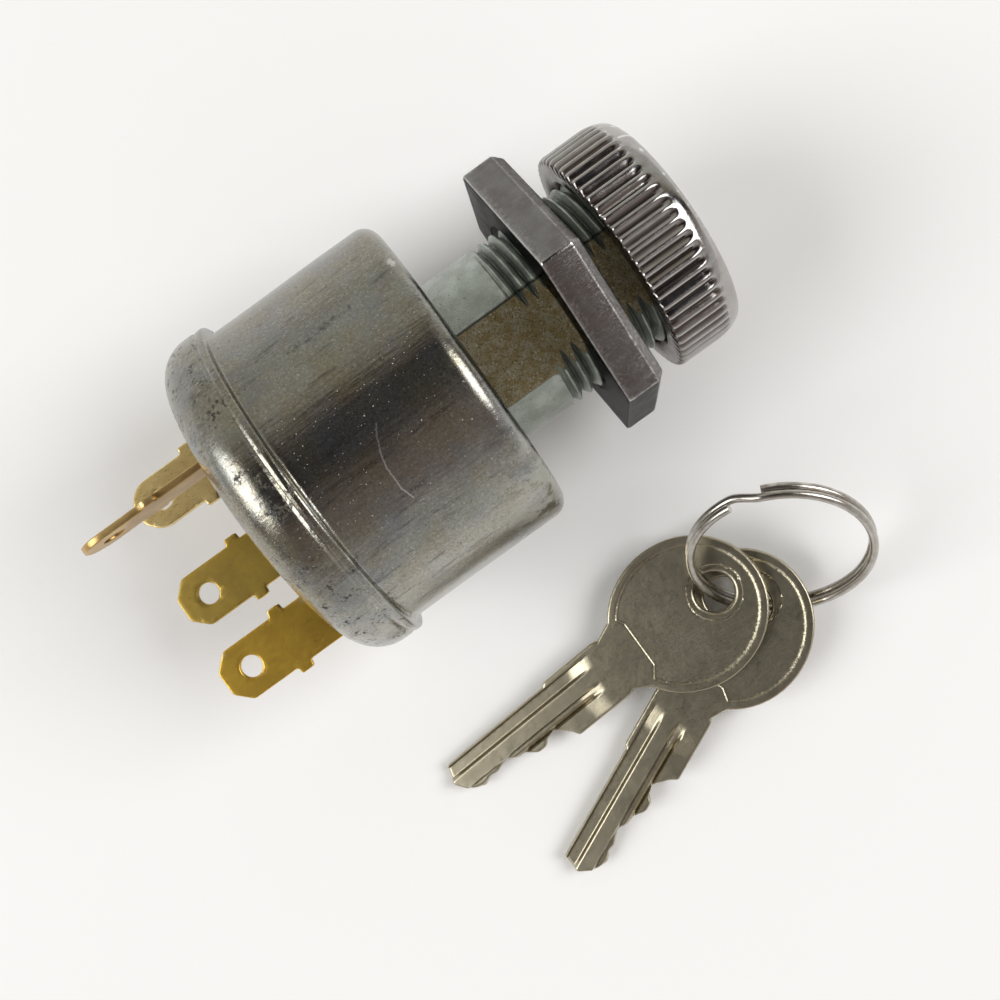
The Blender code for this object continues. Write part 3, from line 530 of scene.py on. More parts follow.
print("mixing the finishes")
finishes = {
    "can_zinc": zincCan(),
    "cast_zinc": castNeck(),
    "dark_chrome": platedChrome(
        "darkChrome", (0.25, 0.245, 0.24), (0.17, 0.15, 0.142), rough=0.15, marks=5.0, scratches=1.1,
        edgeWearLightLimits=(0.515, 0.56), rear=31.84, grooveShadeFade=(0.8, 0.0, 1.0, 2.0), grooveEnd=0.0, edgeTint=0.25),
    "bright_chrome": platedChrome(
        "brightChrome", (0.46, 0.45, 0.435), (0.34, 0.315, 0.30), rough=0.13, marks=3.0, scratches=0.3,
        edgeWearLightLimits=(0.54, 0.66), rear=39.0, grooveShadeFade=(0.8, 0.0, 13.28, 13.62), grooveEnd=46.4),
    "key_nickel": keyNickel(),
    "ring_steel": plainFinish("ringSteel", (0.55, 0.53, 0.49), (0.38, 0.35, 0.31), 1.0, 0.22),
    "phenolic": plainFinish("mouldedBase", (0.022, 0.019, 0.017), (0.035, 0.03, 0.026), 0.0, 0.5,
                            scale=0.4, grainSize=5.0, depth=0.05),
    "gasket_rubber": plainFinish("gasketRubber", (0.02, 0.02, 0.02), (0.03, 0.03, 0.03), 0.0, 0.8,
                                 scale=1.0, grainSize=6.0, depth=0.05),
    "contact_copper": plainFinish("contactCopper", (0.72, 0.36, 0.22), (0.5, 0.26, 0.15), 1.0, 0.3),
    "rotor_plastic": plainFinish("mouldedRotor", (0.5, 0.45, 0.34), (0.46, 0.42, 0.33), 0.0, 0.42),
    "spring_steel": plainFinish("springSteel", (0.5, 0.5, 0.5), (0.38, 0.38, 0.39), 1.0, 0.3),
    "ball_steel": plainFinish("ballSteel", (0.68, 0.68, 0.68), (0.6, 0.6, 0.6), 1.0, 0.12),
    "plug_nickel": plainFinish("plugNickel", (0.56, 0.54, 0.49), (0.46, 0.44, 0.39), 1.0, 0.26),
    "wafer_brass": sheetBrass("waferBrass", (0.62, 0.47, 0.2), (0.5, 0.37, 0.15)),
}
# one brass in four lit and shaded copies: each blade's colour carries its painted light and shade
bladeBrassLitCopies = {
    "terminal_battery": sheetBrass("batteryBrassPaintedLight", (0.74, 0.48, 0.075), (0.62, 0.385, 0.065), 0.36),
    "terminal_ignition": sheetBrass("ignitionBrassPaintedLight", (0.57, 0.40, 0.085), (0.48, 0.335, 0.085), 0.36),
    "terminal_accessory": sheetBrass("accessoryBrassPaintedLight", (0.86, 0.67, 0.30), (0.76, 0.57, 0.24), 0.3),
    "terminal_starter": sheetBrass("starterBrassPaintedLight", (0.66, 0.46, 0.19), (0.48, 0.31, 0.12), 0.32),
}
slotOf = {row["node"]: row["material_slot"] for row in frame["record"]["subparts"]}


def addPiece(name, mesh, material, body, slot, *nodes):
    piece = bpy.data.objects.new(name, mesh)
    scene.collection.objects.link(piece)
    mesh.materials.clear()
    mesh.materials.append(material)
    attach(piece, body)
    if nodes:
        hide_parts(*nodes)
    return piece


def smooth(mesh, angle=40.0):
    mesh.shade_smooth()
    mesh.set_sharp_from_angle(angle=math.radians(angle))


def loopMesh(name, grid, place, angle=40.0):
    # closed both ways: rows go down the outside and back up the inside, columns go round
    rows, columns = grid.shape[:2]
    points = (grid.reshape(-1, 3) * mm).tolist()
    faces = []
    for row in range(rows):
        below = (row + 1) % rows
        for column in range(columns):
            beside = (column + 1) % columns
            faces.append((row * columns + column, below * columns + column,
                          below * columns + beside, row * columns + beside))
    mesh = bpy.data.meshes.new(name)
    mesh.from_pydata(points, [], faces)
    mesh.transform(place)
    smooth(mesh, angle)
    return mesh


def turnGrid(profile, theta, shape=None):
    # profile rows (radius, station, share) swept through the angles of theta
    rows = np.array([(*row, 0.0)[:3] for row in profile], float)
    radius = np.repeat(rows[:, :1], len(theta), axis=1)
    station = np.repeat(rows[:, 1:2], len(theta), axis=1)
    if shape is not None:
        radius, station = shape(radius, station, rows[:, 2:3], theta[None, :])
    return np.stack((radius * np.cos(theta), radius * np.sin(theta), station), axis=-1)


def arc(centreX, centreZ, radius, start, end, count):
    angles = np.radians(np.linspace(start, end, count + 1))
    return [(centreX + radius * math.cos(a), centreZ + radius * math.sin(a)) for a in angles]


def steps(start, end, count):
    return np.linspace(start, end, count)


def allRound(count):
    return np.arange(count) * math.tau / count


canSize = dict(radius=19.1, front=21.15, corner=2.0, sheet=0.8, neckHole=10.6, rim=20.3, rimLength=7.0,
               rimCorner=4.6, groove=0.22, ripple=0.03)


def makeCan():
    size = canSize
    edge = size["rim"]
    profile = [(size["neckHole"], size["front"] - 0.15), (size["neckHole"] + 0.15, size["front"])]
    profile += [(radius, size["front"]) for radius in steps(11.5, 16.2, 6)]
    profile += arc(size["radius"] - size["corner"], size["front"] - size["corner"], size["corner"], 88, 0, 12)
    profile += [(size["radius"], station) for station in steps(18.6, 0.75, 26)]
    profile += arc(size["radius"] + 0.35, 0.45, 0.35, 180, 258, 4)
    profile += arc(edge - 0.32, -0.28, 0.32, 75, 0, 4)
    low = edge - size["groove"]
    profile += [(edge, -0.62), (edge - 0.03, -0.78), (low, -0.98), (low, -1.1), (edge - 0.04, -1.28),
                (edge, -1.45)]
    profile += [(edge, station) for station in steps(-1.8, -2.3, 3)]
    rimCentre = (edge - size["rimCorner"], size["rimCorner"] - size["rimLength"])
    profile += arc(*rimCentre, size["rimCorner"], 0, -80, 22)
    profile += arc(*rimCentre, size["rimCorner"] - size["sheet"], -82, 0, 10)
    profile += [(edge - size["sheet"], -0.8), (size["radius"] - size["sheet"], -0.8)]
    profile += arc(size["radius"] - size["corner"], size["front"] - size["corner"],
                   size["corner"] - size["sheet"], 0, 90, 5)
    profile += [(size["neckHole"], size["front"] - size["sheet"])]

    def ripple(radius, station, share, theta):
        wave = (np.sin(3 * theta + 0.21 * station) + np.sin(5 * theta - 0.33 * station + 1.3)
                + 0.6 * np.sin(9 * theta + 0.52 * station + 2.1))
        return radius - size["ripple"] * (1.3 + 0.5 * wave) * (radius > 16.0), station

    mesh = loopMesh("canShell", turnGrid(profile, allRound(256), ripple), switchAt, 50.0)
    return addPiece("canShell", mesh, finishes["can_zinc"], "switch_body", "can_zinc", "switch_can")


neckSize = dict(radius=10.25, front=47.45, threadStart=27.9, pitch=1.41, depth=0.8, flat=9.15, flatTurn=103.8,
                bore=8.2, floor=46.05)


def smoothStep(value, low, high):
    share = np.clip((value - low) / (high - low), 0.0, 1.0)
    return share * share * (3.0 - 2.0 * share)


def makeNeck():
    size = neckSize
    profile = [(size["bore"], size["front"] - 0.2), (size["bore"] + 0.2, size["front"]),
               (size["radius"] - 0.9, size["front"])]
    profile += [(size["radius"], station, 1.0) for station in steps(47.41, 27.3, 270)]
    profile += [(size["radius"], station, 1.0) for station in steps(26.8, 20.3, 9)]
    profile += [(size["bore"], 20.3)]
    profile += [(size["bore"], station) for station in steps(24.0, size["floor"], 4)]

    def thread(radius, station, share, theta):
        phase = station / size["pitch"] - theta / math.tau
        wave = np.abs(2.0 * (phase - np.floor(phase)) - 1.0)
        crest = np.clip((wave - 0.1) / 0.76, 0.0, 1.0)
        bite = smoothStep(station, size["threadStart"], size["threadStart"] + 0.5)
        shoulder = smoothStep(station, size["threadStart"] + 0.1, size["threadStart"] - 0.5) * 0.12
        nose = 0.75 * smoothStep(station, size["front"] - 0.9, size["front"])
        cut = radius - bite * size["depth"] * (1.0 - crest) - shoulder - nose
        turn = np.radians(size["flatTurn"])
        away = np.abs(np.cos(theta - turn))
        flat = size["flat"] / np.maximum(away, 0.2)
        return np.where(share > 0.5, np.minimum(cut, flat), radius), station

    mesh = loopMesh("threadedNeck", turnGrid(profile, allRound(288), thread), switchAt, 32.0)
    return addPiece("threadedNeck", mesh, finishes["cast_zinc"], "switch_body", "cast_zinc", "lock_housing")


hexSize = dict(
    apothem=15.03, corner=17.35, rounding=0.45, turn=82.0, rear=31.8, front=36.6, bore=10.32, lead=0.6,
    faces=(11.2, 10.95), middle=33.5, cornerSteps=[0.0, 0.25, 0.5, 0.75, 1.1, 2.0, 4.0],
    # crown and heel: (out from the flats, back from the front or ahead of the rear)
    crown=[(-1.1, 0.0), (-0.86, 0.04), (-0.7, 0.18), (-0.14, 0.84), (-0.02, 1.02), (0.0, 1.2)],
    heel=[(0.0, 0.35), (-0.05, 0.16), (-0.2, 0.02), (-0.4, 0.0)])
bezelSize = dict(
    radius=13.7, rear=40.0, front=48.8, shoulder=45.0, edge=48.3, roll=1.5, opening=8.4, bore=10.4,
    dish=(8.8, 3.4), ridges=60, ridge=0.42, ridgeFade=(46.9, 45.6), samples=12,
    heel=[(0.06, 0.25, 1.0), (0.22, 0.06, 0.8), (0.45, 0.0, 0.4)])  # (in, from rear, ridge share)


def makeHexNut():
    size = hexSize
    near, thirty = size["cornerSteps"], math.radians(30.0)
    side = near + list(np.arange(7.0, 54.0, 3.0)) + [60.0 - value for value in near[:0:-1]]
    theta = np.radians(np.concatenate([np.array(side) + size["turn"] + 60.0 * face for face in range(6)]))
    front, rear = size["front"], size["rear"]
    profile = [(radius, front) for radius in size["faces"][::-1]]
    profile += [(inset, front - back, 1) for inset, back in size["crown"]] + [(0, size["middle"], 1)]
    profile += [(inset, rear + ahead, 1) for inset, ahead in size["heel"]]
    profile += [(radius, rear) for radius in size["faces"]]
    profile += [(size["bore"], rear + size["lead"]), (size["bore"], front - size["lead"])]

    def sixSided(radius, station, share, theta):
        off = (np.degrees(theta) - size["turn"]) % 60.0
        off = np.radians(np.minimum(off, 60.0 - off))
        straight = size["apothem"] / np.cos(thirty - off)
        centre = size["corner"] - size["rounding"] / math.cos(thirty)
        reach = np.maximum(size["rounding"] ** 2 - (centre * np.sin(off)) ** 2, 0.0)
        tangent = math.atan2(0.5 * size["rounding"], centre + math.cos(thirty) * size["rounding"])
        outline = np.where(off < tangent, centre * np.cos(off) + np.sqrt(reach), straight)
        return np.where(share > 0.5, outline + radius / np.cos(thirty - off), radius), station

    mesh = loopMesh("hexNut", turnGrid(profile, theta, sixSided), switchAt, 34.0)
    return addPiece("hexNut", mesh, finishes["dark_chrome"], "hex_nut", "dark_chrome", "hex_nut")


def makeBezelNut():
    size = bezelSize
    edge, front, rear, opening = size["radius"], size["front"], size["rear"], size["opening"]
    start, reach = size["dish"]
    profile = [(opening, front - 1.0), (opening, front - 0.4), (opening + 0.12, front - 0.12),
               (opening + 0.4, front)]
    profile += [(radius, size["edge"] + (front - size["edge"]) * (1.0 - ((radius - start) / reach) ** 2))
                for radius in steps(9.4, 12.0, 5)]
    for angle in np.radians(steps(90.0, 0.0, 31)):
        station = size["shoulder"] + (size["edge"] - size["shoulder"]) * math.sin(angle)
        share = float(smoothStep(station, *size["ridgeFade"]))
        profile.append((edge - size["roll"] * (1.0 - math.cos(angle)), station, share))
    profile += [(edge, station, 1.0) for station in steps(44.6, 40.55, 8)]
    profile += [(edge - inset, rear + ahead, share) for inset, ahead, share in size["heel"]]
    profile += [(12.2, rear), (size["bore"] + 0.6, rear), (size["bore"], rear + 0.6),
                (size["bore"], front - 1.0)]

    def ridged(radius, station, share, theta):
        wave = 0.5 + 0.5 * np.cos(theta * size["ridges"])
        return radius - size["ridge"] * share * (1.0 - wave ** 0.7), station

    theta = allRound(size["ridges"] * size["samples"])
    mesh = loopMesh("bezelNut", turnGrid(profile, theta, ridged), switchAt, 50.0)
    return addPiece("bezelNut", mesh, finishes["bright_chrome"], "bezel_nut", "bright_chrome", "bezel_nut")


def resample(points, spacing):
    points = np.array(points, float)
    closed = np.vstack((points, points[:1]))
    lengths = np.concatenate(([0.0], np.cumsum(np.linalg.norm(np.diff(closed, axis=0), axis=1))))
    marks = np.linspace(0.0, lengths[-1], int(lengths[-1] / spacing), endpoint=False)
    return np.stack([np.interp(marks, lengths, closed[:, axis]) for axis in (0, 1)], axis=1)


def awayFrom(points, line, closed=True):
    # distance from each point to a line of short pieces
    ends = np.roll(line, -1, axis=0) if closed else line[1:]
    starts = line if closed else line[:-1]
    best = np.full(len(points), 1e9)
    for start, end in zip(starts, ends):
        run = end - start
        share = np.clip(((points - start) @ run) / max(run @ run, 1e-12), 0.0, 1.0)
        best = np.minimum(best, np.linalg.norm(points - start - share[:, None] * run, axis=1))
    return best


def inside(points, loop):
    # crossings of a ray towards +x
    result = np.zeros(len(points), bool)
    for (ax, ay), (bx, by) in zip(loop, np.roll(loop, -1, axis=0)):
        crosses = (points[:, 1] < ay) != (points[:, 1] < by)
        if abs(by - ay) > 1e-12:
            result ^= crosses & (points[:, 0] < (bx - ax) * (points[:, 1] - ay) / (by - ay) + ax)
    return result


def roundedDrop(distance, rounding):
    reach = np.clip(rounding - distance, 0.0, rounding)
    return rounding - np.sqrt(rounding ** 2 - reach ** 2)


def flat(points):
    return np.zeros(len(points))


def plateMesh(name, outlinePoints, holePoints, look, place, relief=(flat, flat), extra=()):
    # a sheet piece with one hole: rounded edges and relief on a dense net of triangles
    outline = resample(outlinePoints, look["spacing"])
    hole = resample(holePoints, look["spacing"])
    edges = []
    start = 0
    for loop in (outline, hole):
        edges += [(start + i, start + (i + 1) % len(loop)) for i in range(len(loop))]
        start += len(loop)
    low, high = outline.min(axis=0), outline.max(axis=0)
    gridX, gridY = np.meshgrid(*[np.arange(low[axis], high[axis], look["grid"]) for axis in (0, 1)])
    gridX[1::2] += 0.5 * look["grid"]
    field = [np.stack((gridX.ravel(), gridY.ravel()), axis=1), *extra]
    for loop, rounding in ((outline, look["rounding"]), (hole, look["holeRounding"])):
        run = np.roll(loop, -1, axis=0) - np.roll(loop, 1, axis=0)
        normal = np.stack((-run[:, 1], run[:, 0]), axis=1) / np.linalg.norm(run, axis=1)[:, None]
        for share in (0.12, 0.35, 0.7, 1.05):
            field += [loop + side * share * rounding * normal for side in (-1.0, 1.0)]
    field = np.vstack(field)
    keep = inside(field, outline) & ~inside(field, hole)
    keep &= (awayFrom(field, outline) > 0.015) & (awayFrom(field, hole) > 0.015)
    every = np.vstack((outline, hole, field[keep]))
    made = delaunay_2d_cdt([Vector(point) for point in every], edges, [], 0, 0.01)
    spots = np.array([tuple(point) for point in made[0]])
    triangles = np.array(made[2])
    centres = spots[triangles].mean(axis=1)
    triangles = triangles[inside(centres, outline) & ~inside(centres, hole)]
    drop = np.maximum(roundedDrop(awayFrom(spots, outline), look["rounding"]),
                      roundedDrop(awayFrom(spots, hole), look["holeRounding"]))
    half = 0.5 * look["sheet"]
    count = len(spots)
    points = np.vstack((np.column_stack((spots, half - drop - relief[0](spots))),
                        np.column_stack((spots, drop + relief[1](spots) - half)))) * mm
    faces = triangles.tolist() + (triangles[:, ::-1] + count).tolist()
    sides = {(a, b) for row in triangles.tolist() for a, b in zip(row, row[1:] + row[:1])}
    faces += [(b, a, a + count, b + count) for a, b in sorted(sides) if (b, a) not in sides]
    mesh = bpy.data.meshes.new(name)
    mesh.from_pydata(points.tolist(), [], faces)
    work = bmesh.new()
    work.from_mesh(mesh)
    bmesh.ops.delete(work, geom=[vertex for vertex in work.verts if not vertex.link_faces], context="VERTS")
    bmesh.ops.recalc_face_normals(work, faces=work.faces)
    work.to_mesh(mesh)
    work.free()
    mesh.transform(place)
    smooth(mesh, 38.0)
    return mesh


def circlePoints(radius, count, centre=(0.0, 0.0)):
    return [(centre[0] + radius * math.cos(a), centre[1] + radius * math.sin(a)) for a in allRound(count)]


bladeSize = dict(width=6.3, sheet=0.8, shoulder=-6.2, tongue=4.4, foot=-4.4, hole=1.25, tipCut=1.75,
                 barb=1.65, barbs=(9.9, 9.25), rounding=0.14, holeRounding=0.18, grid=0.55, spacing=0.3)
blades = {
    "terminal_battery": dict(x=-12.9, y=1.0, turn=0.0, tip=-21.3, soft=0.3),
    "terminal_ignition": dict(x=-3.3, y=-4.0, turn=-4.0, tip=-21.6, soft=0.3),
    "terminal_accessory": dict(x=9.3, y=-9.3, turn=-8.0, tip=-20.8, soft=1.3),
    "terminal_starter": dict(x=6.5, y=10.7, turn=90.0, tip=-22.6, soft=1.3),
}


def softenCorners(points, reaches):
    # each corner becomes a short curve that starts and ends within its reach
    result = []
    for index, (corner, reach) in enumerate(zip(points, reaches)):
        corner = Vector(corner)
        before = Vector(points[index - 1])
        after = Vector(points[(index + 1) % len(points)])
        cut = min(reach, 0.48 * (before - corner).length, 0.48 * (after - corner).length)
        first = corner + (before - corner).normalized() * cut
        last = corner + (after - corner).normalized() * cut
        for share in (0.0, 0.25, 0.5, 0.75, 1.0):
            rest = 1 - share
            result.append(tuple(rest ** 2 * first + 2 * share * rest * corner + share ** 2 * last))
    return result


def makeBlades():
    size = bladeSize
    stand = Matrix(((1, 0, 0, 0), (0, 0, 1, 0), (0, -1, 0, 0), (0, 0, 0, 1)))
    for name, blade in blades.items():
        length = size["shoulder"] - blade["tip"]
        half = 0.5 * size["width"]
        tongue = 0.5 * size["tongue"]
        corners = []
        for sign, barb in zip((1.0, -1.0), size["barbs"]):
            side = [(tongue, size["foot"]), (tongue, 0.0), (half, 0.0), (half, length - barb),
                    (half + 0.8, length - barb), (half + 0.8, length - barb + size["barb"]),
                    (half, length - barb + size["barb"]), (half, length - size["tipCut"]),
                    (half - size["tipCut"], length)]
            corners += [(sign * x, y) for x, y in side[::int(sign)]]
        reaches = [0.25] * 7 + [blade["soft"]] * 4 + [0.25] * 7
        outline = softenCorners(corners, reaches)
        hole = circlePoints(size["hole"], 40, (0.0, length - 3.5))
        place = (switchAt @ Matrix.Translation(Vector((blade["x"], blade["y"], size["shoulder"])) * mm)
                 @ Matrix.Rotation(math.radians(blade["turn"]), 4, "Z") @ stand)
        mesh = plateMesh(name + "Blade", outline, hole, size, place)
        addPiece(name + "Blade", mesh, bladeBrassLitCopies[name], "switch_body", "blade_brass", name)


keySize = dict(
    sheet=1.9, headCentre=4.25, headLength=10.1, headHalf=9.25, stemTop=-4.65, stemBottom=3.2, spine=-4.25,
    stop=23.85, rounding=0.26, hole=2.45, collar=3.45, collarDepth=0.13, grid=0.24, spacing=0.17,
    panelInset=1.1, panelDepth=0.10, panelWall=(-0.06, 0.08), panelReach=(8.15, 8.0), backEnd=(11.2, 11.0),
    slotCentre=(1.1, -1.4), slotLength=8.4, slotWidth=4.9, slotTurn=102.0)
keyGrooves = (  # upper face: spine groove, ward groove, pocket along the bitting
    dict(depth=0.55, lean=-0.25, run=(17.75, 21.55), walls=((-4.05, -3.8), (-2.2, -2.6))),
    dict(depth=0.75, lean=0.0, run=(17.6, 21.5), walls=((-0.45, -0.2), (0.95, 0.6))),
    dict(depth=0.34, lean=0.25, run=(18.6, 22.0), walls=((0.2, 0.7),)))
backGrooves = (
    dict(depth=0.6, lean=0.0, run=(18.0, 21.5), walls=((-2.3, -2.0), (-0.8, -1.1))),
    dict(depth=0.35, lean=0.0, run=(18.5, 22.0), walls=((0.4, 0.9),)))
bitting = [
    (24.1, 3.2), (24.6, 2.3), (26.3, 0.7), (27.6, 1.0), (28.3, 1.7), (29.6, 1.7), (30.9, 0.7), (32.2, 0.6),
    (33.4, -0.2), (34.7, 0.1), (35.4, 0.4), (36.5, 0.15), (37.7, 0.75), (39.3, 0.0), (40.7, -1.9),
    (39.9, -4.25)]
grooveLevels = (-4.05, -3.8, -2.6, -2.2, -0.45, -0.2, 0.2, 0.6, 0.7, 0.95)
panelLine = [(12.4, -6.5), (10.9, -3.9), (11.1, -0.9), (11.3, 2.2), (12.4, 3.5), (14.0, 6.0)]


def keyOutline():
    size = keySize
    low = math.degrees(math.asin(size["stemBottom"] / size["headHalf"]))
    high = math.degrees(math.asin(-size["stemTop"] / size["headHalf"]))
    head = [(size["headCentre"] + size["headLength"] * math.cos(a), size["headHalf"] * math.sin(a))
            for a in np.radians(steps(-high - 5.0, high - 355.0 + low - high, 48))]
    neckTop = (size["headCentre"] + size["headLength"] * 0.9 + 1.3, size["stemTop"])
    neckBottom = (size["headCentre"] + size["headLength"] * 0.97 + 0.9, size["stemBottom"])
    shoulder = [(size["stop"], size["spine"]), (size["stop"] - 0.3, size["stemTop"])]
    corners = [neckBottom] + bitting + shoulder + [neckTop]
    return softenCorners(corners, [1.2] + [0.35] * (len(corners) - 2) + [1.2])[2:-2] + head


def grooveRelief(points, grooves):
    x, y = points[:, 0], points[:, 1]
    sunk = np.zeros(len(points))
    for groove in grooves:
        cut = groove["depth"] * smoothStep(x + groove["lean"] * y, *groove["run"])
        for wall in groove["walls"]:
            cut = cut * smoothStep(y, *wall)
        sunk += cut
    return sunk


def fromHeadRim(points, reach):
    # how far each point is inside the raised rim of the head
    size = keySize
    away = np.hypot((points[:, 0] - size["headCentre"]) / (size["headLength"] - size["panelInset"]),
                    points[:, 1] / (size["headHalf"] - size["panelInset"]))
    return (1.0 - away) * reach


def keyRelief(points):
    # how far the upper face is sunk at each point: panel step, grooves and ring collar
    size = keySize
    line = np.array(panelLine)
    border = np.interp(points[:, 1], line[:, 1], line[:, 0])
    panel = np.minimum(fromHeadRim(points, size["panelReach"][0]), border - points[:, 0])
    sunk = size["panelDepth"] * smoothStep(panel, *size["panelWall"]) + grooveRelief(points, keyGrooves)
    radius = np.hypot(points[:, 0], points[:, 1])
    return sunk + size["collarDepth"] * smoothStep(radius, size["collar"], size["collar"] - 0.14)


def backRelief(points):
    size = keySize
    panel = smoothStep(fromHeadRim(points, size["panelReach"][1]), *size["panelWall"])
    panel = panel * smoothStep(points[:, 0], *size["backEnd"])
    return grooveRelief(points, backGrooves) + size["panelDepth"] * panel


def makeKey(name, holeLoop, holeRounding):
    size = keySize
    extra = []
    angles = allRound(150)
    line = np.array(panelLine)
    across = np.arange(-5.4, 5.0, 0.12)
    for shift in (-0.09, -0.03, 0.03, 0.09):
        inset = size["panelInset"] + shift
        extra.append(np.stack((size["headCentre"] + (size["headLength"] - inset) * np.cos(angles),
                               (size["headHalf"] - inset) * np.sin(angles)), axis=1))
        extra.append(np.stack((np.interp(across, line[:, 1], line[:, 0]) + shift, across), axis=1))
    along = np.arange(17.0, 40.5, 0.2)
    for level in grooveLevels:
        extra.append(np.stack((along, np.full(len(along), level)), axis=1))
    for radius in (size["collar"], size["collar"] - 0.07, size["collar"] - 0.14):
        extra.append(np.array(circlePoints(radius, 90)))
    mesh = plateMesh(name + "Plate", keyOutline(), holeLoop, dict(size, holeRounding=holeRounding),
                     keyPlace(name), (keyRelief, backRelief), extra)
    return addPiece(name + "Plate", mesh, finishes["key_nickel"], name, "key_nickel", name)


def slotLoop():
    size = keySize
    half = 0.5 * (size["slotLength"] - size["slotWidth"])
    ends = (arc(half, 0.0, 0.5 * size["slotWidth"], -90, 90, 16)
            + arc(-half, 0.0, 0.5 * size["slotWidth"], 90, 270, 16))
    turn = math.radians(size["slotTurn"])
    return [(size["slotCentre"][0] + x * math.cos(turn) - y * math.sin(turn),
             size["slotCentre"][1] + x * math.sin(turn) + y * math.cos(turn)) for x, y in ends]


ringSize = dict(radius=10.5, wire=1.0, stack=1.15, centre=(8.8530, 0.2970, 5.7302), lean=45.2, heading=233.9,
                start=288.75, gap=21.25, dip=1.9, dipAt=92.0, dipHalf=75.0, perTurn=200)


def makeRing():
    size = ringSize
    lean, heading = math.radians(size["lean"]), math.radians(size["heading"])
    normal = Vector((math.sin(lean) * math.cos(heading), math.sin(lean) * math.sin(heading), math.cos(lean)))
    across = normal.cross(Vector((0.0, 0.0, 1.0))).normalized()
    down = normal.cross(across)
    middle = Vector(joints["key_1_swing"]["pos_m"]) / mm + Vector(size["centre"])
    total = 720.0 - size["gap"]
    curve = bpy.data.curves.new("splitRingWire", "CURVE")
    curve.dimensions = "3D"
    curve.bevel_depth = 0.5 * size["wire"] * mm
    curve.bevel_resolution = 6
    curve.use_fill_caps = True
    count = int(size["perTurn"] * total / 360.0)
    spline = curve.splines.new("POLY")
    spline.points.add(count)
    for step in range(count + 1):
        travel = total * step / count
        angle = size["start"] - travel
        shift = min(max((travel - 360.0 + size["gap"]) / size["gap"], 0.0), 1.0)
        layer = size["stack"] * (shift * shift * (3.0 - 2.0 * shift) - 0.5)
        offset = (angle - size["dipAt"] + 180.0) % 360.0 - 180.0
        dip = 0.0
        if abs(offset) < size["dipHalf"]:
            dip = size["dip"] * math.cos(math.radians(90.0 * offset / size["dipHalf"])) ** 2
        turn = math.radians(angle)
        point = (middle + size["radius"] * (math.cos(turn) * across + math.sin(turn) * down)
                 + layer * normal - Vector((0.0, 0.0, dip)))
        spline.points[step].co = (*(point * mm), 1.0)
    ring = bpy.data.objects.new("splitRingWire", curve)
    scene.collection.objects.link(ring)
    curve.materials.append(finishes["ring_steel"])
    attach(ring, "split_ring")
    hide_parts("split_ring")
    return ring


faceSize = dict(station=47.97, rise=0.42, radius=7.85, slotWidth=2.3, slotHeight=8.5)


def makeLockFace():
    # polished cap over the plug's face, pierced by the keyway
    size = faceSize
    profile = [(0.35, size["station"] + 0.30)]
    profile += [(radius, size["station"] + 0.30) for radius in (2.0, 4.0, 5.2)]
    profile += [(5.5, size["station"] + 0.24), (5.8, size["station"] + 0.24), (6.1, size["station"] + 0.32)]
    profile += [(6.8, size["station"] + size["rise"]), (7.4, size["station"] + size["rise"] - 0.03),
                (size["radius"] - 0.08, size["station"] + 0.26), (size["radius"], size["station"] + 0.1)]
    profile += [(size["radius"], size["station"]), (0.35, size["station"])]
    mesh = loopMesh("lockFace", turnGrid(profile, allRound(96)), switchAt, 45.0)
    face = addPiece("lockFace", mesh, finishes["plug_nickel"], "lock_plug", "plug_nickel")
    cutterMesh = bpy.data.meshes.new("keywayCutter")
    work = bmesh.new()
    bmesh.ops.create_cube(work, size=1.0)
    bmesh.ops.scale(work, vec=(size["slotWidth"] * mm, size["slotHeight"] * mm, 3.0 * mm), verts=work.verts)
    work.to_mesh(cutterMesh)
    work.free()
    cutterMesh.transform(switchAt @ Matrix.Translation((0.0, 0.0, size["station"] * mm)))
    cutter = bpy.data.objects.new("keywayCutter", cutterMesh)
    scene.collection.objects.link(cutter)
    cut = face.modifiers.new("keyway", "BOOLEAN")
    cut.object = cutter
    cut.solver = "EXACT"
    bpy.context.view_layer.update()
    cutMesh = bpy.data.meshes.new_from_object(face.evaluated_get(bpy.context.evaluated_depsgraph_get()))
    face.modifiers.clear()
    face.data = cutMesh
    bpy.data.objects.remove(cutter)
    smooth(face.data, 35.0)
    return face


def finishNodes():
    for name, node in frame["nodes"].items():
        node.data.materials.clear()
        node.data.materials.append(bladeBrassLitCopies.get(name) or finishes[slotOf[name]])


floorLook = dict(size=3.0, colour=(0.95, 0.95, 0.945), rough=0.9)
skyBands = [  # (angle from straight up towards -Y, colour)
    (-90.0, (0.62, 0.62, 0.60)), (-62.0, (0.58, 0.58, 0.55)), (-42.0, (0.52, 0.50, 0.44)),
    (-32.0, (0.34, 0.31, 0.25)), (-27.0, (0.17, 0.115, 0.10)), (-23.0, (0.03, 0.028, 0.032)),
    (10.5, (0.02, 0.022, 0.03)), (13.0, (0.12, 0.082, 0.07)),
    (17.0, (0.15, 0.118, 0.105)), (30.0, (0.25, 0.205, 0.18)), (50.0, (0.34, 0.30, 0.285)),
    (66.0, (0.62, 0.61, 0.60)), (90.0, (0.72, 0.72, 0.71))]
lights = {
    "rearPanel": dict(place=(-0.90, 0.28, 0.85), size=(0.8, 0.8), power=9.5),
    "frontPanel": dict(place=(0.85, -0.20, 0.95), size=(0.7, 0.8), power=9.5),
}
backdrop = (0.9, 0.9, 0.9)
cameraView = dict(fromAxis=(25.0470, -13.5282, 141.8049), right=(0.80961, -0.58441, -0.05466),
                  up=(0.58279, 0.81145, -0.04364), lens=46.44)


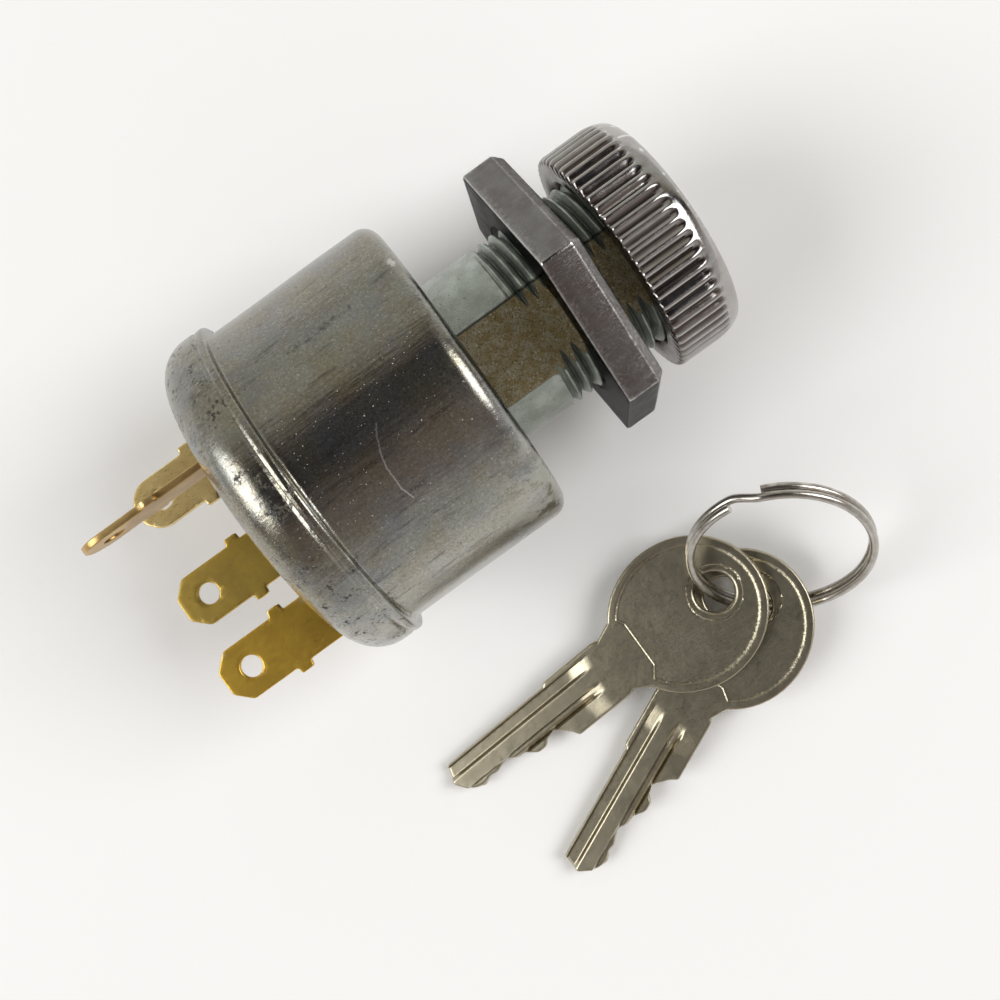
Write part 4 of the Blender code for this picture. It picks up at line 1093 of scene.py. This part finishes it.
def makeFloor():
    mesh = bpy.data.meshes.new("floor")
    half = 0.5 * floorLook["size"]
    corners = [(-half, -half, 0), (half, -half, 0), (half, half, 0), (-half, half, 0)]
    mesh.from_pydata(corners, [], [(0, 1, 2, 3)])
    floor = bpy.data.objects.new("floor", mesh)
    scene.collection.objects.link(floor)
    material, _, shader, _ = startMaterial("paleFloor", 0.0)
    shader.inputs["Base Color"].default_value = (*floorLook["colour"], 1.0)
    shader.inputs["Roughness"].default_value = floorLook["rough"]
    mesh.materials.append(material)


def makeSky():
    world = bpy.data.worlds.new("studio")
    scene.world = world
    world.use_nodes = True
    tree = world.node_tree
    tree.nodes.clear()
    way = tree.nodes.new("ShaderNodeTexCoord").outputs["Generated"]
    parts = addNode(tree, "ShaderNodeSeparateXYZ", {0: way})
    angle = mathNode(tree, "ARCTAN2", times(tree, parts.outputs[1], -1.0), parts.outputs[2])
    share = ramp(tree, angle, 0.0, 1.0, -0.5 * math.pi, 0.5 * math.pi, "LINEAR")
    bands = tree.nodes.new("ShaderNodeValToRGB")
    bands.color_ramp.interpolation = "LINEAR"
    elements = bands.color_ramp.elements
    while len(elements) > 1:
        elements.remove(elements[-1])
    elements[0].position = 0.0
    elements[0].color = (*skyBands[0][1], 1.0)
    for turn, colour in skyBands[1:]:
        elements.new((turn + 90.0) / 180.0).color = (*colour, 1.0)
    tree.links.new(share, bands.inputs[0])
    seen = tree.nodes.new("ShaderNodeLightPath").outputs["Is Camera Ray"]
    shown = mixColour(tree, seen, bands.outputs[0], backdrop)
    back = addNode(tree, "ShaderNodeBackground", {"Color": shown, "Strength": 1.0})
    out = tree.nodes.new("ShaderNodeOutputWorld")
    tree.links.new(back.outputs[0], out.inputs["Surface"])


def makeLights():
    for name, values in lights.items():
        data = bpy.data.lights.new(name, "AREA")
        data.shape = "RECTANGLE"
        data.size, data.size_y = values["size"]
        data.energy = values["power"]
        lamp = bpy.data.objects.new(name, data)
        lamp.location = values["place"]
        lamp.rotation_euler = (-Vector(values["place"])).to_track_quat("-Z", "Y").to_euler()
        scene.collection.objects.link(lamp)


def makeCamera():
    right, up = Vector(cameraView["right"]).normalized(), Vector(cameraView["up"])
    back = right.cross(up).normalized()
    up = back.cross(right)
    data = bpy.data.cameras.new("camera")
    data.sensor_width = 36.0
    data.lens = cameraView["lens"]
    data.clip_start = 0.005
    camera = bpy.data.objects.new("camera", data)
    place = Vector(joints["key_turn"]["pos_m"]) + Vector(cameraView["fromAxis"]) * mm
    camera.matrix_world = Matrix.Translation(place) @ Matrix((right, up, back)).transposed().to_4x4()
    scene.collection.objects.link(camera)
    scene.camera = camera


print("camera, floor and light")
makeCamera()
makeFloor()
makeSky()
makeLights()
scene.view_settings.view_transform = "Standard"
print("can and neck")
makeCan()
makeNeck()
print("nuts")
makeHexNut()
makeBezelNut()
print("blades and lock face")
makeBlades()
makeLockFace()
print("keys and ring")
makeKey("key_1", circlePoints(keySize["hole"], 60), 0.42)
makeKey("key_2", slotLoop(), 0.26)
makeRing()
finishNodes()

print("done")
